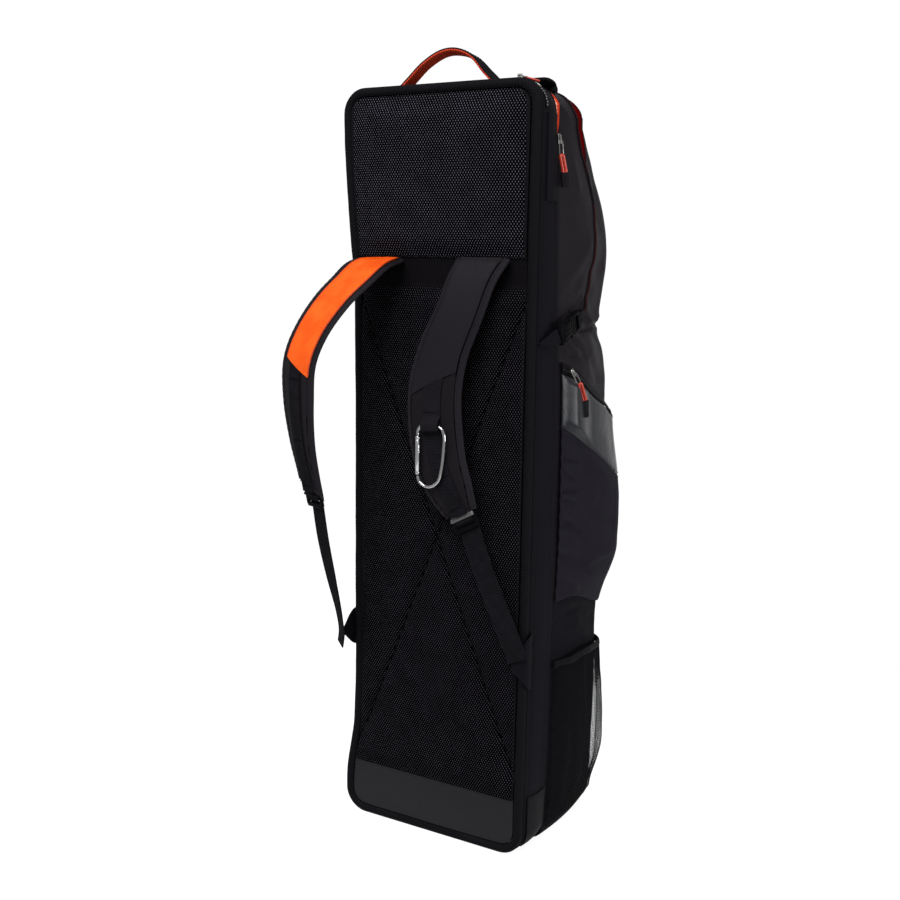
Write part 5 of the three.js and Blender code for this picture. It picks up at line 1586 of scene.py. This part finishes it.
def build_handle():
    strap = Strap(HANDLE)
    shares = steps(0, 1, 110)
    form = ribbon(strap, shares, lambda s: strap.half(s) - 0.2, 0.0, 1.6, columns=14, crown=0.3)
    form.piece("handle_webbing", RIB, "handle_strap", "webbing")
    inner = steps(0.14, 0.86, 90)
    form = ribbon(strap, inner, lambda s: strap.half(s) - 0.1, -0.2, -1.8, columns=16, crown=-1.8)
    lining = form.piece("handle_lining_mesh", ORANGE_MESH, "handle_lining", "orange")
    edge_stitches(strap, shares, 2.2, 1.9)
    tab = Strap(TOP_TAB)
    form = ribbon(tab, steps(0, 1, 30), tab.half, 0.2, 1.6, columns=10)
    ribbon(tab, steps(0.06, 0.97, 30), lambda s: tab.half(s) - 0.8, 1.7, 3.2, columns=10, form=form)
    roll = tab.points(np.full(11, 0.04), steps(-9.6, 9.6, 10), np.full(11, -1.5))
    tube(roll, TAB_ROLL, sides=16, form=form)
    form.piece("top_tab_webbing", RIB, "top_tab", "webbing")


def pad_profile(half, columns, flared):
    """One face of a shoulder strap across: distance from the middle and height, bound edges first.

    The outer edge of a flared strap keeps its full height up to the binding.
    """
    a = np.sin(columns * np.pi / 2) * half
    inside = half - np.abs(a)
    bead = BEAD * np.sqrt(np.clip(1 - (1 - np.clip(inside / BEAD, 0, 1)) ** 2, 0, 1))
    rounded = smooth(inside, 1.5, STRAP_BORDER + 1)
    if flared:
        rounded = np.where(a < 0, smooth(inside, 0, 3), rounded)
    return a, bead + (STRAP_THICKNESS / 2 - BEAD) * rounded - 1.6 * dent(inside - SEAM_INSET, 0.8)


PAD_COLUMNS = steps(-1, 1, 84)
LEFT_UNDERSIDE = 0.55
END_SLANT = {"left": 12, "right": 2}


def build_strap_pad(side, strap):
    shares = steps(0, 1, 150)
    centre, along, across, out = strap.frames(shares)
    half = strap.half(shares)[:, None]
    a, height = pad_profile(half, PAD_COLUMNS[None, :], side == "left")
    under = height * (LEFT_UNDERSIDE if side == "left" else 1)
    length = travelled(centre)[:, None]
    inside = half - np.abs(a)
    border = 1 - smooth(inside, STRAP_BORDER - 2, STRAP_BORDER)
    pucker = 0.18 * np.sin(length / 1.3) * border * smooth(inside, 0.5, 3)
    sunk = 1 - 0.36 * smooth(shares, 0.97, 1)[:, None]
    back = END_SLANT[side] * np.where(a < 0, -a / half, -((a / half) ** 3)) * smooth(shares, 0.86, 1)[:, None]
    middle = centre[:, None] - along[:, None] * back[..., None] + across[:, None] * a[..., None]
    top = middle + out[:, None] * (height * sunk + pucker)[..., None]
    low = middle - out[:, None] * (under * sunk)[..., None]
    u = np.concatenate([a, a[:, -2:0:-1]], axis=1)
    uv = np.stack(np.broadcast_arrays(u, length), axis=-1) * MM
    form = loft(np.concatenate([top, low[:, -2:0:-1]], axis=1), uv)

    # The cloth of each face: outer face, bound edge, mesh underneath, and near-black faces in the seam's
    # groove as painted shade.
    for index, face in enumerate(form.faces):
        if len(face) > 4:
            form.slots[index] = 1
            continue
        r, c = np.divmod(np.array(face), u.shape[1])
        on_edge = np.mean((np.abs(u[r, c]) - half[r, 0] + STRAP_BORDER) / half[r, 0]) > 0
        shaded_seam = np.abs(np.mean(np.abs(u[r, c]) - half[r, 0] + SEAM_INSET)) < 0.6
        below = np.mean(c) > len(PAD_COLUMNS) - 0.5
        form.slots[index] = 3 if shaded_seam else 1 if on_edge else 2 if below else 0
    cloths = [PAD_CLOTH, STRAP_CLOTH, SHADED_MESH, DARK_THREAD_AND_SHADE]
    pad = form.piece(f"strap_pad_{side}_bound", cloths, f"strap_pad_{side}", "webbing", sharp=50)
    edge_stitches(strap, steps(0.01, 0.98, 120), STRAP_BORDER - 2.2, 5.0)


def bartack(strap, share, half, lift):
    """Dense stitches across webbing, in three rows."""
    _, _, _, out = strap.frames(np.array([share]))
    for k in range(3):
        at = np.full(20, share + (k - 1.5) * 0.0016)
        path = strap.points(at, steps(-half, half, 19), np.full(20, lift))
        stitch_run(seam_threads, path, out[0], pitch=1.7, length=1.5, radius=0.28)


LACE_PITCH = 8.2
PANEL_SHIFT = 4
PANEL_START = 0.03
PANEL_INSET = STRAP_BORDER + 2.2
WEBBING_HALF = 12.5
WEBBING_CHANGE = 39


def build_strap(side, rows, adjuster, panel_end, slant, arch, cloths, slot, tacks):
    strap = Strap(rows)
    build_strap_pad(side, strap)
    face = STRAP_THICKNESS / 2
    left = side == "left"
    shift = PANEL_SHIFT if left else 0

    def panel_half(share):
        return strap.half(share) - PANEL_INSET

    form = ribbon(
        strap, steps(PANEL_START, panel_end, 110), panel_half, face - 0.4, face + 1.3,
        columns=24, crown=0.6, slant=(0, slant), shift=shift,
    )
    for reach in (-1, 1):
        at = steps(PANEL_START, panel_end + slant * reach, 90)
        rim = strap.points(at, shift + reach * panel_half(at), np.full(at.shape, face + 0.9))
        tube(rim, 0.9, sides=8, form=form, slot=1)
    form.piece(f"strap_panel_{side}_cloth", cloths, f"strap_panel_{side}", slot)
    edge_stitches(strap, steps(PANEL_START + 0.01, panel_end - 0.02, 90), STRAP_BORDER + 4.6, face + 1.6)

    # Webbing from the panel's end. The right strap's upper run is a little lighter than the rest.
    start = panel_end + 0.5 * abs(slant) + 0.006
    run = steps(0, 1, 150)
    low = face + 0.3 + arch(run)
    upper = int(left)
    form = Form()
    for part, cloth in ((slice(None, WEBBING_CHANGE + 1), upper), (slice(WEBBING_CHANGE, None), 1)):
        at = lerp(start, 1, run[part])
        ribbon(strap, at, WEBBING_HALF, low[part], low[part] + WEBBING, form=form, slot=cloth)
    lead = steps(panel_end - 0.002, start + 0.004, 10)
    ribbon(strap, lead, WEBBING_HALF, face - 0.2, face + 1.7, slant=(slant * 0.5, 0), form=form, slot=upper)
    form.piece(f"strap_webbing_{side}_ribbed", [STRAP_RIB, RIB], f"strap_webbing_{side}", "webbing")
    for tack in tacks:
        bartack(strap, lerp(start, 1, tack), WEBBING_HALF - 1, face + 0.3 + WEBBING + 0.15)

    centre, along, across, out = (value[0] for value in strap.frames(np.array([1.0])))
    middle = centre + along * LADDER_OFF
    # The right lock's tilted top bar takes the lighter plastic, a painted highlight.
    lock = blocks(LADDER_LOCK, middle, across, along, out, segments=3, highlight_slot=int(not left))
    lock.piece(f"ladder_lock_{side}_moulded", [PLASTIC, HIGHLIGHT_PLASTIC], f"ladder_lock_{side}", "plastic")

    first = middle + along * (LADDER_LENGTH * 0.42) - out * (LADDER_THICKNESS / 2 + GAP + WEBBING)
    knot = {**adjuster[0], "x": first[0], "depth": first[1] - BACK_Y, "z": first[2]}
    tail = Strap([knot] + adjuster)
    form = ribbon(tail, steps(0, 1, 90), tail.half, 0.0, WEBBING)

    # The webbing laces over the lock's middle bar.
    reach = steps(-7.4, 7.4, 30)
    lace = middle + along * reach[:, None] + out * (2.9 * np.cos(np.pi * reach / LACE_PITCH))[:, None]
    turned = unit(np.cross(np.gradient(lace, axis=0), across))[:, None] * 0.5
    outer = lace[:, None] + (across * steps(-14.2, 14.2, 8)[:, None])[None]
    wall(outer + turned, outer - turned, form=form)
    form.piece(f"adjuster_{side}_ribbed", RIB, f"adjuster_{side}", "webbing")


TAB_FACING = (0.6, -0.8)


def build_tab(side, columns):
    sign = 1 if side == "right" else -1
    knots = [(row["x"], row["depth"], row["open"]) for row in columns]
    along = steps(0, 1, 30)
    x, depth, half = spline(knots, along).T
    r = steps(-1, 1, 20)[:, None]
    away = np.array([sign * TAB_FACING[0], TAB_FACING[1], 0])
    plain = place(x, depth, TAB_MIDDLE + r * half)
    dish = 1.2 * (1 - r**2) * window(along, 0, 0.5, 0.6, 1)
    outer = plain + away * (2 + dish)[..., None]
    wall(outer, plain).piece(f"seam_tab_{side}_cloth", GUSSET_SHADE_CLOTH, f"seam_tab_{side}", "webbing")
    for row in (outer[2], outer[-3], outer[2:-2, 3]):
        stitch_run(stitches, row + away * 0.2, away)


def build_straps():
    def loop(run):
        return 8.6 * np.exp(-(((run - 0.232) / 0.05) ** 4))

    def flat(run):
        return 0 * run

    build_strap(
        "right", RIGHT_STRAP, RIGHT_ADJUSTER, panel_end=0.47, slant=-0.05, arch=loop,
        cloths=[STRAP_CLOTH, STRAP_CLOTH], slot="webbing", tacks=(0.14, 0.62, 0.93),
    )
    build_strap(
        "left", LEFT_STRAP, LEFT_ADJUSTER, panel_end=0.575, slant=0.022, arch=flat,
        cloths=[ORANGE, ORANGE_EDGE], slot="orange", tacks=(0.04, 0.45, 0.92),
    )
    build_tab("right", RIGHT_TAB)
    build_tab("left", LEFT_TAB)


def build_carabiner():
    at_x, at_z = CARABINER_AT

    def ring(across, below):
        return place(at_x + across, CARABINER_DEPTH, at_z - below)

    across, below = (np.array([row[key] for row in CARABINER_WIRE], float) for key in ("across", "below"))
    # The wire takes the darker steel, a painted dark reflection.
    form = tube(spline(ring(across, below), steps(0, 1, 180)), WIRE_RADIUS - 0.3, sides=18)
    form.piece("carabiner_wire", STEEL_DARK_REFLECTION, "carabiner_body", "metal")

    down, radius = (np.array([row[key] for row in GATE_PROFILE], float) for key in ("down", "radius"))
    top, low = ring(GATE_TOP_ACROSS, GATE_TOP), ring(GATE_LOW_ACROSS, GATE_LOW)
    path = lerp(top, low, (down / down[-1])[:, None])
    gate = tube(path, radius, sides=24)
    gate.piece("carabiner_gate_sleeve", STEEL, "carabiner_gate", "metal", body="gate")


# Put the pieces together.

build_pads()
build_rim()
build_gusset()
build_stick_zip()
build_main()
build_pocket()
build_net()
build_front_zip()
build_mouth_tape()
build_pullers()
build_compression()
build_handle()
build_straps()
build_carabiner()
stitches.piece("seam_stitches", THREAD)
seam_threads.piece("quilt_stitches", DARK_THREAD_AND_SHADE)


# Floor, light and camera.

FLOOR_SIZE = 1.7
FLOOR_GREY = 0.2
FLOOR_GLOW = 0.92
BRIGHT_WORLD = 1.02
DIM_WORLD = 0.5
BRIGHT_CONE = (-0.87, -0.62)
LIGHTS_AIM = Vector((0, 0, 0.5))
LIGHTS = table(
    "x y z wide tall power",
    (0.2, -2.4, 3.0, 2.4, 2.4, 152), (3.0, 0.4, 0.5, 2.0, 1.1, 56), (-2.6, -1.2, 2.2, 2.2, 2.2, 15),
)
CAMERA_AT = Vector((770.8, -1385.5, 780.4)) * MM
CAMERA_TURN = math.radians(30.58)
CAMERA_DOWN = math.radians(9.75)
CAMERA_ROLL = math.radians(0.74)
CAMERA_LENS = 46.84
SENSOR_WIDTH = 36


def floor_material():
    glow = {"emission_color": (1, 1, 1, 1), "emission_strength": FLOOR_GLOW}
    return Shader("pale_floor", (FLOOR_GREY,) * 3, 0.8, specular_ior_level=0.0, **glow).material


def build_studio():
    half = FLOOR_SIZE / 2
    corners = [(-half, -half, 0), (half, -half, 0), (half, half, 0), (-half, half, 0)]
    floor_mesh = bpy.data.meshes.new("floor")
    floor_mesh.from_pydata(corners, [], [(0, 1, 2, 3)])
    floor = bpy.data.objects.new("floor", floor_mesh)
    floor_mesh.materials.append(floor_material())
    bpy.context.scene.collection.objects.link(floor)
    floor.visible_diffuse = False

    # The studio is bright behind the bag and dimmer on the camera's side.
    world = bpy.data.worlds.new("studio")
    world.use_nodes = True
    tree = world.node_tree
    background = tree.nodes["Background"]
    background.inputs["Color"].default_value = (1, 1, 1, 1)
    direction = tree.nodes.new("ShaderNodeTexCoord")
    facing = tree.nodes.new("ShaderNodeVectorMath")
    facing.operation = "DOT_PRODUCT"
    level = math.cos(CAMERA_DOWN)
    facing.inputs[1].default_value = (
        math.sin(CAMERA_TURN) * level, -math.cos(CAMERA_TURN) * level, math.sin(CAMERA_DOWN),
    )
    ranged = tree.nodes.new("ShaderNodeMapRange")
    ranged.interpolation_type = "SMOOTHSTEP"
    marks = zip(("From Min", "From Max", "To Min", "To Max"), (*BRIGHT_CONE, BRIGHT_WORLD, DIM_WORLD))
    for key, value in marks:
        ranged.inputs[key].default_value = value
    tree.links.new(direction.outputs["Generated"], facing.inputs[0])
    tree.links.new(facing.outputs["Value"], ranged.inputs["Value"])
    tree.links.new(ranged.outputs[0], background.inputs["Strength"])
    bpy.context.scene.world = world
    for number, row in enumerate(LIGHTS):
        data = bpy.data.lights.new(f"softbox_{number}", "AREA")
        data.energy = row["power"]
        data.shape = "RECTANGLE"
        data.size, data.size_y = row["wide"], row["tall"]
        light = bpy.data.objects.new(f"softbox_{number}", data)
        light.location = (row["x"], row["y"], row["z"])
        light.rotation_euler = (LIGHTS_AIM - light.location).to_track_quat("-Z", "Y").to_euler()
        bpy.context.scene.collection.objects.link(light)
    bpy.context.scene.view_settings.view_transform = "Standard"


def build_camera():
    forward = Vector((
        -math.sin(CAMERA_TURN) * math.cos(CAMERA_DOWN),
        math.cos(CAMERA_TURN) * math.cos(CAMERA_DOWN),
        -math.sin(CAMERA_DOWN),
    ))
    right = Vector((math.cos(CAMERA_TURN), math.sin(CAMERA_TURN), 0))
    up = right.cross(forward)
    tilted = right * math.cos(CAMERA_ROLL) + up * math.sin(CAMERA_ROLL)
    upright = up * math.cos(CAMERA_ROLL) - right * math.sin(CAMERA_ROLL)
    data = bpy.data.cameras.new("camera")
    data.sensor_width = SENSOR_WIDTH
    data.lens = CAMERA_LENS
    camera = bpy.data.objects.new("camera", data)
    turned = Matrix((tilted, upright, -forward)).transposed().to_4x4()
    camera.matrix_world = Matrix.Translation(CAMERA_AT) @ turned
    bpy.context.scene.collection.objects.link(camera)
    bpy.context.scene.camera = camera


build_studio()
build_camera()
